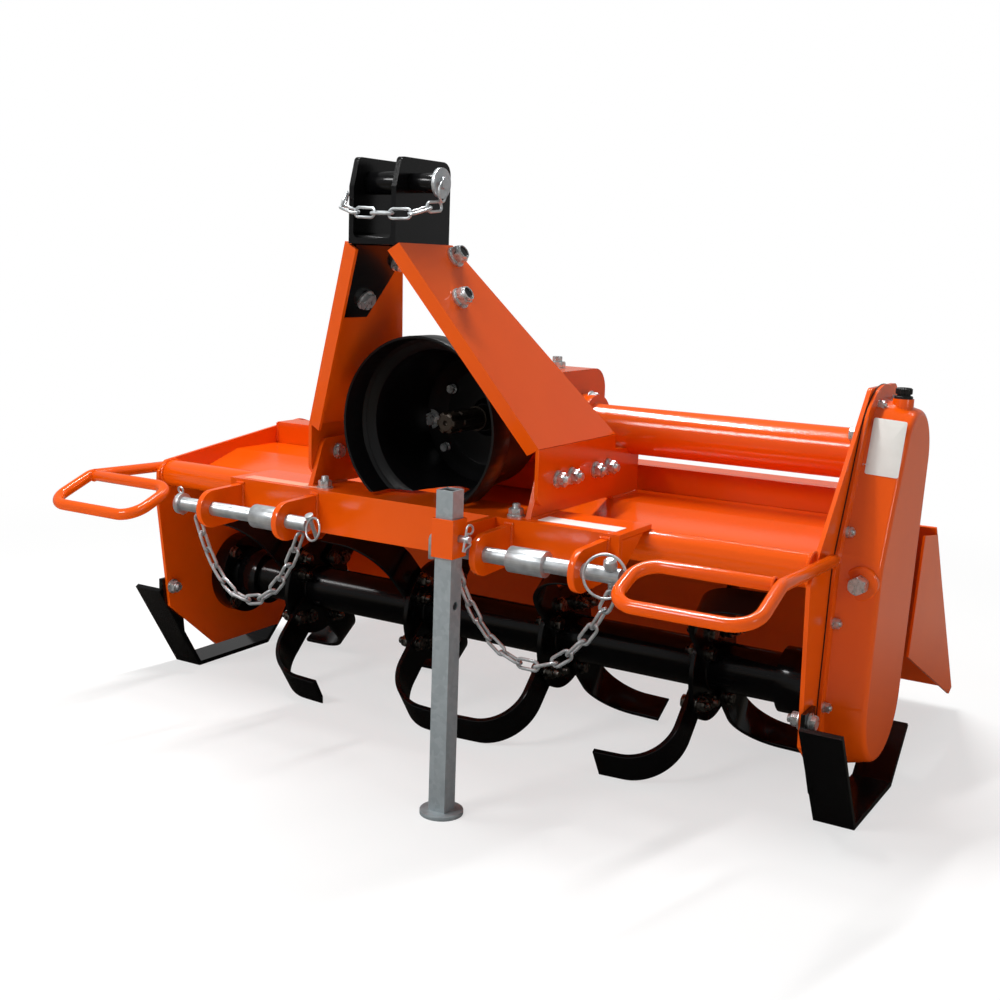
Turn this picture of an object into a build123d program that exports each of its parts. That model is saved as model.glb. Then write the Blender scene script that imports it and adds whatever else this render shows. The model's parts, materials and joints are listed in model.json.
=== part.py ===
"""Rotary tiller for a three-point hitch, driven by a tractor's power take-off.

Millimetres.  +X is the machine's right-hand side as seen from in front (the chain case is there),
+Y points to the rear (the flap is there) and +Z is up.  While it is being built, X = 0 is the
input shaft's line, Y = 0 is close to the lower hitch pins and Z = 0 is the ground.  The last
section moves everything so that the origin is the centre of the footprint, on the ground.
"""
from math import asinh, atan2, cos, degrees, hypot, pi, sin
import os

from build123d import *

# ---------------------------------------------------------------- driving dimensions
# Body
inner_half = 589.0          # inner face of each side plate, from the middle
plate_t = 6.0               # side plate
outer_half = inner_half + plate_t
front_tube_d = 48.0         # round tube across the front
front_tube_y = 165.0
front_tube_z = 379.0
hood_t = 4.0
hood_top_z = 406.0          # flat top of the hood
hood_ridge_y = 335.0        # where the front slope meets the flat top
hood_back_y = 520.0         # where the flat top turns down
crossbar_y = 449.0          # front face of the rear cross member
crossbar_depth = 60.0
crossbar_height = 41.0
crossbar_wall = 4.0
bar_top_z = hood_top_z + crossbar_height

# Rotor
rotor_y = 340.0
rotor_z = 167.0
rotor_tube_d = 77.0
tube_end_gap = 11.0         # from each bearing's nose to the rotor tube
hub_length = 40.0           # stepped hub at each end of the tube
hub_gap = 5.0               # from the hub to the bearing's nose
flange_d = 176.0
flange_t = 8.0
flange_end_gap = 147.0      # from the tube's end to the first flange
flange_shift_x = -3.0       # the flanges sit a little to the left
flange_count = 4
tine_radius = 205.0         # rotor axis to the outer face of a blade
tine_t = 8.0
tine_width = 50.0
tine_reach = 114.0          # from the flange to the blade's side end
tine_bend_r = 76.0          # bend between arm and blade, at the middle of the bar
tines_per_flange = 4
tine_first_angle = 45.0
first_tine_sides = (-1, -1, 1, 1)   # side each flange's first blade sweeps to
journal_d = 40.0            # rotor and input shaft where they run in their bearings
running_gap = 0.05
seat_gap = 0.3              # between a bolted or welded piece and its seat
bearing_d = 150.0
bearing_depth = 30.0
bearing_nose = 8.0          # smaller step towards the rotor

# Drive
drive_y = 410.0             # cross shaft from the gearbox to the chain case
drive_z = bar_top_z + 61
drive_tube_d = 76.0
input_z = drive_z + 15      # input shaft, over the cross shaft
input_end_y = 158.0         # its free end
input_d = 34.9              # 1 3/8 inch power take-off size
input_spline_length = 88.0
input_neck_d = 44.0
box_front_y = 300.0         # gearbox
box_back_y = 490.0
box_left_x = -85.0
box_right_x = 105.0
box_bottom_z = bar_top_z + 3
box_top_z = box_bottom_z + 150
box_round = 38.0
nose_d = 110.0              # bearing housing on its front
case_flange_t = 6.0         # chain case
case_depth = 60.0
case_low_r = 93.0
case_mid_r = 86.0
case_mid_z = 345.0
case_high_r = 72.0
case_flange_w = 20.0
case_draft = 14.0
shield_r = 136.0            # round guard about the input shaft
shield_front_y = 80.0
shield_back_y = box_front_y - 10
shield_wall = 4.0
shield_drum = 46.0          # straight drum at its front
shield_cut_z = input_z - 107    # flat bottom edge of the guard

# Hitch
beam_front_y = 62.0
beam_t = 8.0
beam_height = 67.0
ear_t = 10.0
ear_inner_x = 177.0         # middle of each inner ear
ear_outer_x = 330.0
beam_half = ear_outer_x + 22    # angle beam across the front
hitch_y = -5.0              # lower hitch pins
hitch_z = 371.0
ear_nose_r = 30.0
lower_pin_d = 22.0
lower_bush_d = 36.5
lower_bush_length = 56.0
top_y = 2.0                 # top link pin
top_z = 872.0
top_pin_d = 19.0
top_head_d = 41.0            # flat head at its right-hand end
top_head_t = 5.0
top_bush_d = 31.8
pin_gap = 0.1
mast_half_gap = 32.0        # between the two mast plates, halved
mast_t = 8.0
mast_front_y = -37.0
mast_back_y = 95.0
mast_foot_z = top_z - 84        # where the mast plates bend outwards
mast_top_z = top_z + 34
mast_leg_length = 118.0
mast_leg_foot_w = 62.0          # width of each leg at its lower end
mast_lip_gap = 1.0              # from the brace's turned edge to the leg
brace_t = 6.0
brace_flange = 22.0         # width of its front edge, turned inwards
brace_foot_x = 203.0        # inner face of the brace's foot
brace_foot_top_z = drive_z
brace_foot_low_z = brace_foot_top_z - 80
brace_foot_front_y = 85.0
brace_foot_back_y = 328.0
upright_t = 8.0
upright_front_y = 78.0
upright_back_y = 428.0

# Stand, skids, loops
stand_x = 150.0
stand_y = -51.0
stand_size = 27.0
stand_wall = 2.6
stand_top_z = 465.0
stand_foot_d = 62.0
stand_foot_t = 6.0
socket_wall = 3.5
socket_gap = 0.5
socket_low_z = 372.0
socket_high_z = 426.0
socket_pin_z = 399.0
socket_pin_d = 10.0
skid_width = 60.0
skid_t = 8.0
skid_front_y = 137.0
skid_front_z = 164.0
skid_toe_y = 238.0
skid_heel_y = 432.0
skid_back_y = 508.0
skid_back_z = 76.0
loop_d = 18.0
loop_bend_r = 34.0
loop_gap = 26.0             # between the lower pin's outer end and the loop
loop_back_y = -5.0
loop_back_z = 394.0
loop_front_y = -92.0
loop_front_z = 359.0

# Chains that keep the loose pins
link_length = 38.5
link_width = 19.0
link_wire = 5.0
link_bite = 0.4             # how far each link's bend sits into the next one's
top_link_width = 17.0
top_link_wire = 4.0
top_link_count = 8
top_chain_depth = 57.0      # from the top pin's line to its front
top_chain_sag = 20.0

# Rear flap
hinge_y = hood_back_y + 92
hinge_z = hood_top_z - 22
hinge_rod_d = 12.0
hinge_barrel_d = 22.0
flap_t = 4.0
flap_tip_y = hinge_y + 250
flap_tip_z = 40.0
flap_right_x = outer_half + 50      # it covers the chain case's side
flap_left_x = -outer_half - 17

nodes = {}


# ---------------------------------------------------------------- shared helpers
def side_plane(x=0.0):
    """A drawing plane facing +X, with Y across and Z up."""
    return Plane(origin=(x, 0, 0), x_dir=(0, 1, 0), z_dir=(1, 0, 0))


def outline(points, rounds=()):
    """A flat face through (across, up) points; rounds gives (point index, radius)."""
    face = make_face(Polyline(*points, close=True))
    for index, radius in rounds:
        corner = Vector(*points[index])
        vertex = min(face.vertices(), key=lambda v: (Vector(v.X, v.Y) - corner).length)
        face = fillet(vertex, radius)
    return face


def side_plate(x0, x1, points, rounds=()):
    """A plate with its outline in the Y-Z plane, from x0 to x1."""
    return extrude(side_plane(min(x0, x1)) * outline(points, rounds), abs(x1 - x0))


def bent_strip(points, thickness):
    """The outline of a bent sheet: points are one face, and the sheet lies to their left."""
    offsets = []
    for i, (a, b) in enumerate(points):
        before = points[max(i - 1, 0)]
        after = points[min(i + 1, len(points) - 1)]
        here = (a, b)
        first = _left(before, here) if i > 0 else _left(here, after)
        second = _left(here, after) if i < len(points) - 1 else first
        mitre = (first[0] + second[0], first[1] + second[1])
        scale = thickness * 2 / (mitre[0] ** 2 + mitre[1] ** 2)
        offsets.append((a + mitre[0] * scale, b + mitre[1] * scale))
    return list(points) + offsets[::-1]


def _left(start, end):
    length = hypot(end[0] - start[0], end[1] - start[1])
    return (-(end[1] - start[1]) / length, (end[0] - start[0]) / length)


def rod_x(x0, x1, y, z, diameter):
    """A round bar along X."""
    plane = Plane(origin=(min(x0, x1), y, z), x_dir=(0, 1, 0), z_dir=(1, 0, 0))
    return extrude(plane * Circle(diameter / 2), abs(x1 - x0))


def rod_y(y0, y1, x, z, diameter):
    """A round bar along Y."""
    plane = Plane(origin=(x, min(y0, y1), z), x_dir=(1, 0, 0), z_dir=(0, 1, 0))
    return extrude(plane * Circle(diameter / 2), abs(y1 - y0))


def rod_z(z0, z1, x, y, diameter):
    """A round bar along Z."""
    return extrude(Plane(origin=(x, y, min(z0, z1))) * Circle(diameter / 2), abs(z1 - z0))


def block(x0, x1, y0, y1, z0, z1):
    """A box between two corners."""
    return Pos((x0 + x1) / 2, (y0 + y1) / 2, (z0 + z1) / 2) * Box(x1 - x0, y1 - y0, z1 - z0)


def mirrored(shape):
    """The same piece on the other side of the machine."""
    return mirror(shape, about=Plane.YZ)


def bent_rod(points, diameter, bend):
    """A round bar through 3-D points, with each corner rounded to the bend radius."""
    path = FilletPolyline(*points, radius=bend)
    start = Plane(origin=path @ 0, z_dir=path % 0)
    return sweep(start * Circle(diameter / 2), path=path)


# ---------------------------------------------------------------- side plates
plate_low_z = 35.0
plate_front_y = front_tube_y - 33
plate_back_y = hood_back_y + 55
front_tube_top_z = front_tube_z + front_tube_d / 2
plate_front = [
    (plate_front_y, front_tube_z - 46), (plate_front_y + 26, rotor_z - 33),
    (rotor_y - 64, plate_low_z),
]
plate_back = [
    (rotor_y + 115, plate_low_z), (plate_back_y - 19, rotor_z + 23),
    (plate_back_y, hood_top_z - 6), (plate_back_y - 25, bar_top_z - 7),
]
left_top = [
    (hood_back_y + 2, bar_top_z + 1), (plate_front_y + 20, front_tube_top_z),
    (plate_front_y + 2, front_tube_top_z - 18),
]
nodes["side_plate_left"] = side_plate(
    -outer_half, -inner_half, plate_front + plate_back + left_top, [(5, 30), (7, 40), (8, 16)]
)

hump_top_z = drive_z + case_high_r + 31
right_top = [
    (hood_back_y, bar_top_z + 1), (drive_y + 88, hump_top_z), (drive_y - 54, hump_top_z),
    (plate_front_y + 34, front_tube_top_z - 9),
]
right_front = [(plate_front_y + 10, front_tube_z - 17)] + plate_front[1:]
nodes["side_plate_right"] = side_plate(
    inner_half, outer_half, right_front + plate_back + right_top,
    [(5, 30), (8, 22), (9, 12), (10, 20)],
)

# ---------------------------------------------------------------- front tube, beam and hood
nodes["front_tube"] = rod_x(-inner_half, inner_half, front_tube_y, front_tube_z, front_tube_d)

beam_top_z = front_tube_top_z + beam_t
beam_low_z = beam_top_z - beam_height
web = block(-beam_half, beam_half, beam_front_y, beam_front_y + beam_t, beam_low_z, beam_top_z)
top_flange = block(
    -beam_half, beam_half, beam_front_y, front_tube_y, beam_top_z - beam_t, beam_top_z
)
nodes["hitch_beam"] = web + top_flange

hood_low = (front_tube_y + 12, front_tube_z - front_tube_d / 2 + 2.4)
hood_line = [
    (hinge_y - hinge_barrel_d / 2 - 3, hinge_z + 4),
    (hood_back_y, hood_top_z),
    (hood_ridge_y, hood_top_z),
    hood_low,
]
hood = side_plate(-inner_half, inner_half, bent_strip(hood_line, hood_t))
barrel_length = 80.0
hood_barrel_x = inner_half - 109        # middle of the outer fixed hinge barrels
bore = hinge_rod_d + 2 * running_gap
for x in (-hood_barrel_x, 0, hood_barrel_x):
    ends = (x - barrel_length / 2, x + barrel_length / 2)
    hood += rod_x(*ends, hinge_y, hinge_z, hinge_barrel_d)
    hood += block(*ends, hinge_y - hinge_barrel_d / 2 - 5, hinge_y, hinge_z, hinge_z + 4)
hood -= rod_x(-inner_half, inner_half, hinge_y, hinge_z, bore)
nodes["hood"] = hood

crossbar = block(
    -inner_half, inner_half, crossbar_y, crossbar_y + crossbar_depth, hood_top_z, bar_top_z
)
crossbar -= block(
    -inner_half, inner_half,
    crossbar_y + crossbar_wall, crossbar_y + crossbar_depth - crossbar_wall,
    hood_top_z + crossbar_wall, bar_top_z - crossbar_wall,
)
nodes["rear_crossbar"] = crossbar

# ---------------------------------------------------------------- lower hitch
ear_low_z = beam_low_z
ear_top_z = beam_top_z - beam_t


def hitch_ear(x):
    """One nose plate welded to the beam's web, bored for the lower pin."""
    body = side_plate(
        x - ear_t / 2, x + ear_t / 2,
        [
            (hitch_y, hitch_z - ear_nose_r), (beam_front_y, ear_low_z),
            (beam_front_y, ear_top_z), (hitch_y, hitch_z + ear_nose_r),
        ],
    )
    nose = rod_x(x - ear_t / 2, x + ear_t / 2, hitch_y, hitch_z, 2 * ear_nose_r)
    hole = rod_x(x - ear_t, x + ear_t, hitch_y, hitch_z, lower_pin_d + 2 * pin_gap)
    return body + nose - hole


pin_head_t = 8.0
pin_head_d = lower_pin_d + 12
pin_in_x = ear_inner_x - 43     # inner and outer ends of each lower pin, heads left out
pin_out_x = ear_outer_x + 60
# side name, sign of X, distance of the bush's inner end from the middle
for side, sign, bush_x in (("left", -1, ear_inner_x + 5.5), ("right", 1, ear_inner_x + 45)):
    nodes["hitch_ears_" + side] = hitch_ear(sign * ear_inner_x) + hitch_ear(sign * ear_outer_x)
    ends = sorted((sign * pin_in_x, sign * pin_out_x))
    pin = rod_x(*ends, hitch_y, hitch_z, lower_pin_d)
    pin += rod_x(ends[0] - pin_head_t, ends[0], hitch_y, hitch_z, pin_head_d)
    nodes["lower_pin_" + side] = pin
    bush_ends = (sign * bush_x, sign * (bush_x + lower_bush_length))
    bush = rod_x(*bush_ends, hitch_y, hitch_z, lower_bush_d)
    bush -= rod_x(*bush_ends, hitch_y, hitch_z, lower_pin_d + 2 * pin_gap)
    nodes["hitch_bush_" + side] = bush

# ---------------------------------------------------------------- mast and braces
mast_outer = mast_half_gap + mast_t
brace_x = mast_outer + 1                # inner face of the brace at its top
drop = mast_foot_z - brace_foot_top_z
lean = atan2(brace_foot_x - brace_x, drop)
slope_length = drop / cos(lean)


def lean_plane(x):
    """A plane through the right-hand brace: local x is Y and local y runs up the slope."""
    return Plane(
        origin=(x, 0, mast_foot_z), x_dir=(0, 1, 0), z_dir=(cos(lean), 0, sin(lean))
    )


brace_face = [
    (mast_front_y, 0), (mast_back_y, 0),
    (brace_foot_back_y, -slope_length), (brace_foot_front_y, -slope_length),
]
brace = extrude(lean_plane(brace_x) * outline(brace_face), brace_t)
brace_lip = [
    (mast_front_y, 0), (mast_front_y + brace_t, 0),
    (brace_foot_front_y + brace_t, -slope_length), (brace_foot_front_y, -slope_length),
]
brace += extrude(lean_plane(brace_x) * outline(brace_lip), brace_t - brace_flange)
foot_face = [
    (brace_foot_front_y, brace_foot_top_z + 2), (brace_foot_front_y, brace_foot_low_z),
    (brace_foot_back_y, brace_foot_low_z), (brace_foot_back_y, brace_foot_top_z + 2),
]
brace += side_plate(brace_foot_x, brace_foot_x + brace_t, foot_face, [(1, 18), (2, 18)])
nodes["brace_right"] = brace
nodes["brace_left"] = mirrored(brace)

mast_face = [
    (mast_front_y, mast_foot_z), (mast_back_y, mast_foot_z), (mast_back_y, mast_top_z),
    (mast_front_y + 12, mast_top_z), (mast_front_y, mast_top_z - 40),
]
leg_front_y = mast_front_y + brace_t + mast_lip_gap     # behind the brace's turned edge
leg_end_y = leg_front_y + (brace_foot_front_y - mast_front_y) * mast_leg_length / slope_length
leg_face = [
    (leg_front_y, 3), (mast_back_y, 3), (mast_back_y - 6, -mast_leg_length * 0.45),
    (leg_end_y + mast_leg_foot_w, -mast_leg_length), (leg_end_y, -mast_leg_length),
]
mast_leg = extrude(lean_plane(mast_outer) * outline(leg_face), -mast_t)
mast_section = [
    (-mast_outer, mast_top_z), (-mast_outer, mast_foot_z), (mast_outer, mast_foot_z),
    (mast_outer, mast_top_z), (mast_half_gap, mast_top_z),
    (mast_half_gap, mast_foot_z + mast_t), (-mast_half_gap, mast_foot_z + mast_t),
    (-mast_half_gap, mast_top_z),
]
section_plane = Plane(origin=(0, mast_front_y, 0), x_dir=(1, 0, 0), z_dir=(0, -1, 0))
mast = extrude(
    section_plane * outline(mast_section, [(5, mast_t), (6, mast_t)]), mast_front_y - mast_back_y
)
mast &= side_plate(-mast_outer, mast_outer, mast_face, [(2, 18), (3, 8)])
mast += mast_leg + mirrored(mast_leg)
mast -= rod_x(-mast_outer - 5, mast_outer + 5, top_y, top_z, top_pin_d + 2 * pin_gap)
nodes["mast_bracket"] = mast

top_collar_x = mast_outer + 44
top_pin = rod_x(-mast_outer - 12, top_collar_x, top_y, top_z, top_pin_d)
top_pin += rod_x(top_collar_x, top_collar_x + top_head_t, top_y, top_z, top_head_d)
top_pin += rod_x(top_collar_x, top_collar_x + top_head_t + 5, top_y, top_z, top_pin_d - 3)
nodes["top_pin"] = top_pin
top_bore = top_pin_d + 2 * pin_gap
top_bush = rod_x(-mast_half_gap + 1, mast_half_gap - 1, top_y, top_z, top_bush_d)
top_bush -= rod_x(-mast_half_gap, mast_half_gap, top_y, top_z, top_bore)
nodes["top_bush"] = top_bush
spacer = rod_x(mast_outer + 0.3, top_collar_x - 0.3, top_y, top_z, top_pin_d + 8)
spacer -= rod_x(mast_outer, top_collar_x, top_y, top_z, top_bore)
nodes["top_spacer"] = spacer

# ---------------------------------------------------------------- uprights
tube_r = drive_tube_d / 2
upright_face = [
    (upright_front_y, beam_top_z), (hood_ridge_y, beam_top_z), (hood_ridge_y, hood_top_z),
    (upright_back_y, hood_top_z), (upright_back_y, drive_z - tube_r + 10),
    (brace_foot_back_y + 14, brace_foot_top_z - 22),
    (brace_foot_front_y + 22, brace_foot_top_z - 22),
]
upright = side_plate(brace_foot_x - upright_t, brace_foot_x, upright_face, [(5, 12), (6, 20)])
upright -= rod_x(0, inner_half, drive_y, drive_z, drive_tube_d + 0.4)
nodes["upright_right"] = upright
nodes["upright_left"] = mirrored(upright)

# ---------------------------------------------------------------- gearbox, drive tube and guard
box = block(box_left_x, box_right_x, box_front_y, box_back_y, box_bottom_z, box_top_z)
box = fillet(box.edges().filter_by(Axis.X), box_round)
base = block(
    box_left_x + 10, box_right_x - 10, box_front_y + 25, box_back_y - 42, hood_top_z, box_bottom_z + 30
)
collar_t = 14.0
collar_d = drive_tube_d + 30
box += base
box += rod_x(box_right_x, box_right_x + collar_t, drive_y, drive_z, collar_d)
box += rod_x(box_left_x - collar_t, box_left_x, drive_y, drive_z, collar_d)
input_bore = rod_y(shield_back_y, box_front_y + 40, 0, input_z, journal_d + 2 * running_gap)
nodes["gearbox"] = box - input_bore
nodes["input_bearing"] = rod_y(shield_back_y, box_front_y, 0, input_z, nose_d) - input_bore

tube_start = box_right_x + collar_t
drive_tube = rod_x(tube_start, inner_half, drive_y, drive_z, drive_tube_d)
for x in (tube_start, inner_half - collar_t):
    drive_tube += rod_x(x, x + collar_t, drive_y, drive_z, collar_d)
nodes["drive_tube"] = drive_tube
arm_end = brace_foot_x + 6
support = rod_x(-arm_end, box_left_x - collar_t, drive_y, drive_z, drive_tube_d)
nodes["support_tube"] = support

# Revolved wall of the guard: (radius, distance along Y) down the outside, front to back.
shield_steps = [
    (shield_r, shield_front_y), (shield_r, shield_front_y + shield_drum),
    (shield_r - 18, shield_front_y + 58), (shield_r - 28, shield_back_y - 24),
    (shield_r - 52, shield_back_y),
]
shield_outer = [(r, y) for r, y in shield_steps]
shield_inner = [
    (r - shield_wall, y - (shield_wall if y > shield_front_y else 0)) for r, y in shield_steps
]
shield_hole = 26.0
shield_profile = (
    shield_outer + [(shield_hole, shield_back_y), (shield_hole, shield_back_y - shield_wall)]
    + shield_inner[::-1]
)
shield_plane = Plane(origin=(0, 0, input_z), x_dir=(1, 0, 0), z_dir=(0, 0, 1))
shield = revolve(shield_plane * outline(shield_profile), Axis((0, 0, input_z), (0, 1, 0)))
shield -= block(-shield_r, shield_r, 0, shield_back_y - 60, input_z - 200, shield_cut_z)
seam_y = shield_front_y + shield_drum
drum_part = block(-shield_r, shield_r, shield_front_y, seam_y, shield_cut_z, input_z + shield_r)
nodes["input_guard"] = shield & drum_part
nodes["guard_cone"] = shield - drum_part

stub = rod_y(input_end_y, input_end_y + input_spline_length, 0, input_z, input_d)
stub = chamfer(stub.faces().sort_by(Axis.Y)[0].edges(), 3)
stub += rod_y(
    input_end_y + input_spline_length, shield_back_y + 0.5, 0, input_z, input_neck_d - 4
)
stub += rod_y(shield_back_y, box_front_y + 30, 0, input_z, journal_d)
nodes["input_shaft"] = stub

# ---------------------------------------------------------------- chain case
def case_face(grow):
    """Outline of the chain case, grown by a margin: three circles and their outer tangents."""
    circles = (
        (rotor_y, rotor_z, case_low_r), (rotor_y + 8, case_mid_z, case_mid_r),
        (drive_y, drive_z, case_high_r),
    )
    edges = []
    for y, z, r in circles:
        edges += (Pos(y, z) * Circle(r + grow)).edges()
    return make_face(make_hull(edges))


flange_plate = extrude(side_plane(outer_half) * case_face(case_draft + case_flange_w), case_flange_t)
dome_start = outer_half + case_flange_t
dome_depth = case_depth - case_flange_t
dome_taper = degrees(atan2(case_draft, dome_depth))
dome = extrude(side_plane(dome_start) * case_face(case_draft), dome_depth, taper=dome_taper)
dome = fillet(dome.faces().sort_by(Axis.X)[-1].edges(), 9)
nodes["chain_case"] = flange_plate + dome

breather_y = drive_y - 8
boss = rod_z(drive_z + case_high_r - 4, drive_z + case_high_r + 16, outer_half + 34, breather_y, 30)
cap = rod_z(drive_z + case_high_r + 16, drive_z + case_high_r + 32, outer_half + 34, breather_y, 26)
nodes["chain_case"] += boss
nodes["case_breather"] = cap

# ---------------------------------------------------------------- rotor bearings
for side, sign in (("left", -1), ("right", 1)):
    ends = (sign * inner_half, sign * (inner_half - bearing_depth))
    housing = rod_x(*ends, rotor_y, rotor_z, bearing_d)
    nose_end = ends[1] - sign * bearing_nose
    housing += rod_x(ends[1], nose_end, rotor_y, rotor_z, bearing_d * 0.62)
    housing -= rod_x(
        sign * (inner_half - 8), nose_end - sign * 4, rotor_y, rotor_z,
        journal_d + 2 * running_gap,
    )
    nodes["rotor_bearing_" + side] = housing

# ---------------------------------------------------------------- rotor
bearing_face = inner_half - bearing_depth - bearing_nose
rotor_tube_half = bearing_face - tube_end_gap
rotor = rod_x(-rotor_tube_half, rotor_tube_half, rotor_y, rotor_z, rotor_tube_d)
rotor += rod_x(-inner_half + 10, inner_half - 10, rotor_y, rotor_z, journal_d)
for sign in (-1, 1):
    hub_end = bearing_face - hub_gap
    rotor += rod_x(
        sign * (hub_end - hub_length), sign * hub_end, rotor_y, rotor_z, rotor_tube_d + 24
    )
first_flange_x = flange_end_gap - rotor_tube_half
flange_pitch = -2 * first_flange_x / (flange_count - 1)
flange_xs = [first_flange_x + flange_shift_x + i * flange_pitch for i in range(flange_count)]


def tine(side):
    """One blade about the X axis through the origin, its arm upwards: arm, bend and side blade."""
    mid_r = tine_radius - tine_t / 2
    start = side * (flange_t + tine_t) / 2
    path = FilletPolyline(
        (start, 0, rotor_tube_d / 2 + 8), (start, 0, mid_r - 6),
        (start + side * tine_reach, 0, mid_r), radius=tine_bend_r,
    )
    section = Plane(origin=path @ 0, x_dir=(1, 0, 0), z_dir=path % 0) * Rectangle(tine_t, tine_width)
    return sweep(section, path=path)


tine_angles = [tine_first_angle + i * 360 / tines_per_flange for i in range(tines_per_flange)]
for number, x in enumerate(flange_xs, start=1):
    tine_set = rod_x(-flange_t / 2, flange_t / 2, 0, 0, flange_d)
    for i, angle in enumerate(tine_angles):
        tine_set += Rot(angle, 0, 0) * tine(first_tine_sides[number - 1] * (-1) ** i)
    tine_set -= rod_x(-60, 60, 0, 0, rotor_tube_d + 0.2)
    nodes["tine_set_" + str(number)] = Pos(x, rotor_y, rotor_z) * tine_set
nodes["rotor_tube"] = rotor

# ---------------------------------------------------------------- skids
def skid(sign):
    """A bent flat bar beside the side plate, with two upright tabs bolted to the plate."""
    inner = outer_half + seat_gap
    line = [
        (skid_front_y, skid_front_z), (skid_toe_y, 0), (skid_heel_y, 0), (skid_back_y, skid_back_z)
    ]
    shape = side_plate(inner, inner + skid_width, bent_strip(line, skid_t))
    front_tab = [
        (skid_front_y + 6, skid_front_z - 2), (skid_front_y + 6, skid_front_z + 22),
        (skid_front_y + 52, skid_front_z + 22), (skid_front_y + 66, 52),
    ]
    shape += side_plate(inner, inner + skid_t - 2, front_tab)
    back_tab = [
        (skid_heel_y + 34, 42), (skid_heel_y + 34, 128), (skid_back_y - 2, 128),
        (skid_back_y - 2, skid_back_z - 1),
    ]
    shape += side_plate(inner, inner + skid_t - 2, back_tab)
    return shape if sign > 0 else mirrored(shape)


nodes["skid_left"] = skid(-1)
nodes["skid_right"] = skid(1)

# ---------------------------------------------------------------- front loops
loop_x = outer_half + seat_gap + loop_d / 2
loop_inner_x = pin_out_x + loop_gap
loop_points = [
    (loop_x, front_tube_y + 40, front_tube_z + 9), (loop_x, loop_back_y, loop_back_z),
    (loop_x, loop_front_y, loop_front_z), (loop_inner_x, loop_front_y, loop_front_z),
    (loop_inner_x, loop_back_y, loop_back_z), (loop_x - loop_d / 2, loop_back_y, loop_back_z),
]
loop = bent_rod(loop_points, loop_d, loop_bend_r)
nodes["loop_right"] = loop
nodes["loop_left"] = mirrored(loop)

# ---------------------------------------------------------------- parking stand
half = stand_size / 2
foot_hole = stand_size - 2 * stand_wall
leg = block(
    stand_x - half, stand_x + half, stand_y - half, stand_y + half, stand_foot_t, stand_top_z
)
leg -= block(
    stand_x - foot_hole / 2, stand_x + foot_hole / 2,
    stand_y - foot_hole / 2, stand_y + foot_hole / 2, stand_foot_t, stand_top_z,
)
for z in (socket_pin_z - 95, socket_pin_z):
    leg -= rod_x(stand_x - half - 2, stand_x + half + 2, stand_y, z, socket_pin_d + 2)
leg += rod_z(0, stand_foot_t, stand_x, stand_y, stand_foot_d)
nodes["stand_leg"] = leg

sleeve_in = half + socket_gap
sleeve_out = sleeve_in + socket_wall
socket = block(
    stand_x - sleeve_out, stand_x + sleeve_out, stand_y - sleeve_out, stand_y + sleeve_out,
    socket_low_z, socket_high_z,
)
socket += block(
    stand_x - 5, stand_x + 5, stand_y + sleeve_in, beam_front_y,
    hitch_z + lower_pin_d / 2 + 4, beam_top_z,
)
socket -= block(
    stand_x - sleeve_in, stand_x + sleeve_in, stand_y - sleeve_in, stand_y + sleeve_in,
    socket_low_z, socket_high_z,
)
socket -= rod_x(
    stand_x - sleeve_out, stand_x + sleeve_out, stand_y, socket_pin_z, socket_pin_d + 0.4
)
nodes["stand_socket"] = socket

handle_end = stand_x - sleeve_out - 10
stand_pin = bent_rod(
    [
        (stand_x - sleeve_in - 0.6, stand_y, socket_pin_z), (handle_end, stand_y, socket_pin_z),
        (handle_end, stand_y, socket_pin_z - 34),
    ],
    socket_pin_d, 8,
)
stand_pin += rod_x(
    stand_x + sleeve_in + 0.6, stand_x + sleeve_out + 16, stand_y, socket_pin_z, socket_pin_d
)
nodes["stand_pin"] = stand_pin

# ---------------------------------------------------------------- chains
def chain_link(middle, way, side, sizes, turned):
    """One link: an eight-sided ring of square wire, its length along the way.

    It lies across the side direction, or in it where turned is true.
    """
    length, width, wire = sizes
    along = Vector(*way).normalized()
    across = Vector(*side).cross(along).normalized()
    facing = across if turned else along.cross(across)
    corner = width * 0.3
    half_l = length / 2
    half_w = width / 2
    rim = [
        (half_l, half_w - corner), (half_l - corner, half_w), (corner - half_l, half_w),
        (-half_l, half_w - corner), (-half_l, corner - half_w), (corner - half_l, -half_w),
        (half_l - corner, -half_w), (half_l, corner - half_w),
    ]
    hole = [(u * (1 - 2 * wire / length), v * (1 - 2 * wire / width)) for u, v in rim]
    plane = Plane(origin=middle, x_dir=along, z_dir=facing)
    return extrude(plane * (outline(rim) - outline(hole)), wire / 2, both=True)


def chain(places, side, sizes):
    """Links at (middle, way) places, every other one turned a quarter, joined where they bite."""
    joined = None
    for i, (middle, way) in enumerate(places):
        link = chain_link(middle, way, side, sizes, i % 2)
        joined = link if joined is None else joined + link
    return joined


link_sizes = (link_length, link_width, link_wire)
link_pitch = link_length - 2 * link_wire - link_bite
chain_low_x = (ear_inner_x + ear_outer_x + 3) / 2      # lowest point, midway between the ears
# side name, sign of X, links, parameter of the catenary, diameter of what the chain hangs under
for side, sign, count, sag, seat_d in (
    ("left", -1, 12, 60.3, lower_pin_d), ("right", 1, 13, 76.6, pin_head_d),
):
    places = []
    for i in range(count):
        run = (i - (count - 1) / 2) * link_pitch
        middle = (sign * chain_low_x + sag * asinh(run / sag), hitch_y, hypot(sag, run))
        places.append((middle, (sag, 0, run)))
    hung = chain(places, (0, 1, 0), link_sizes)
    lift = hitch_z - seat_d / 2 - seat_gap - hung.bounding_box().max.Z
    nodes["chain_" + side] = Pos(0, 0, lift) * hung


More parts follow.
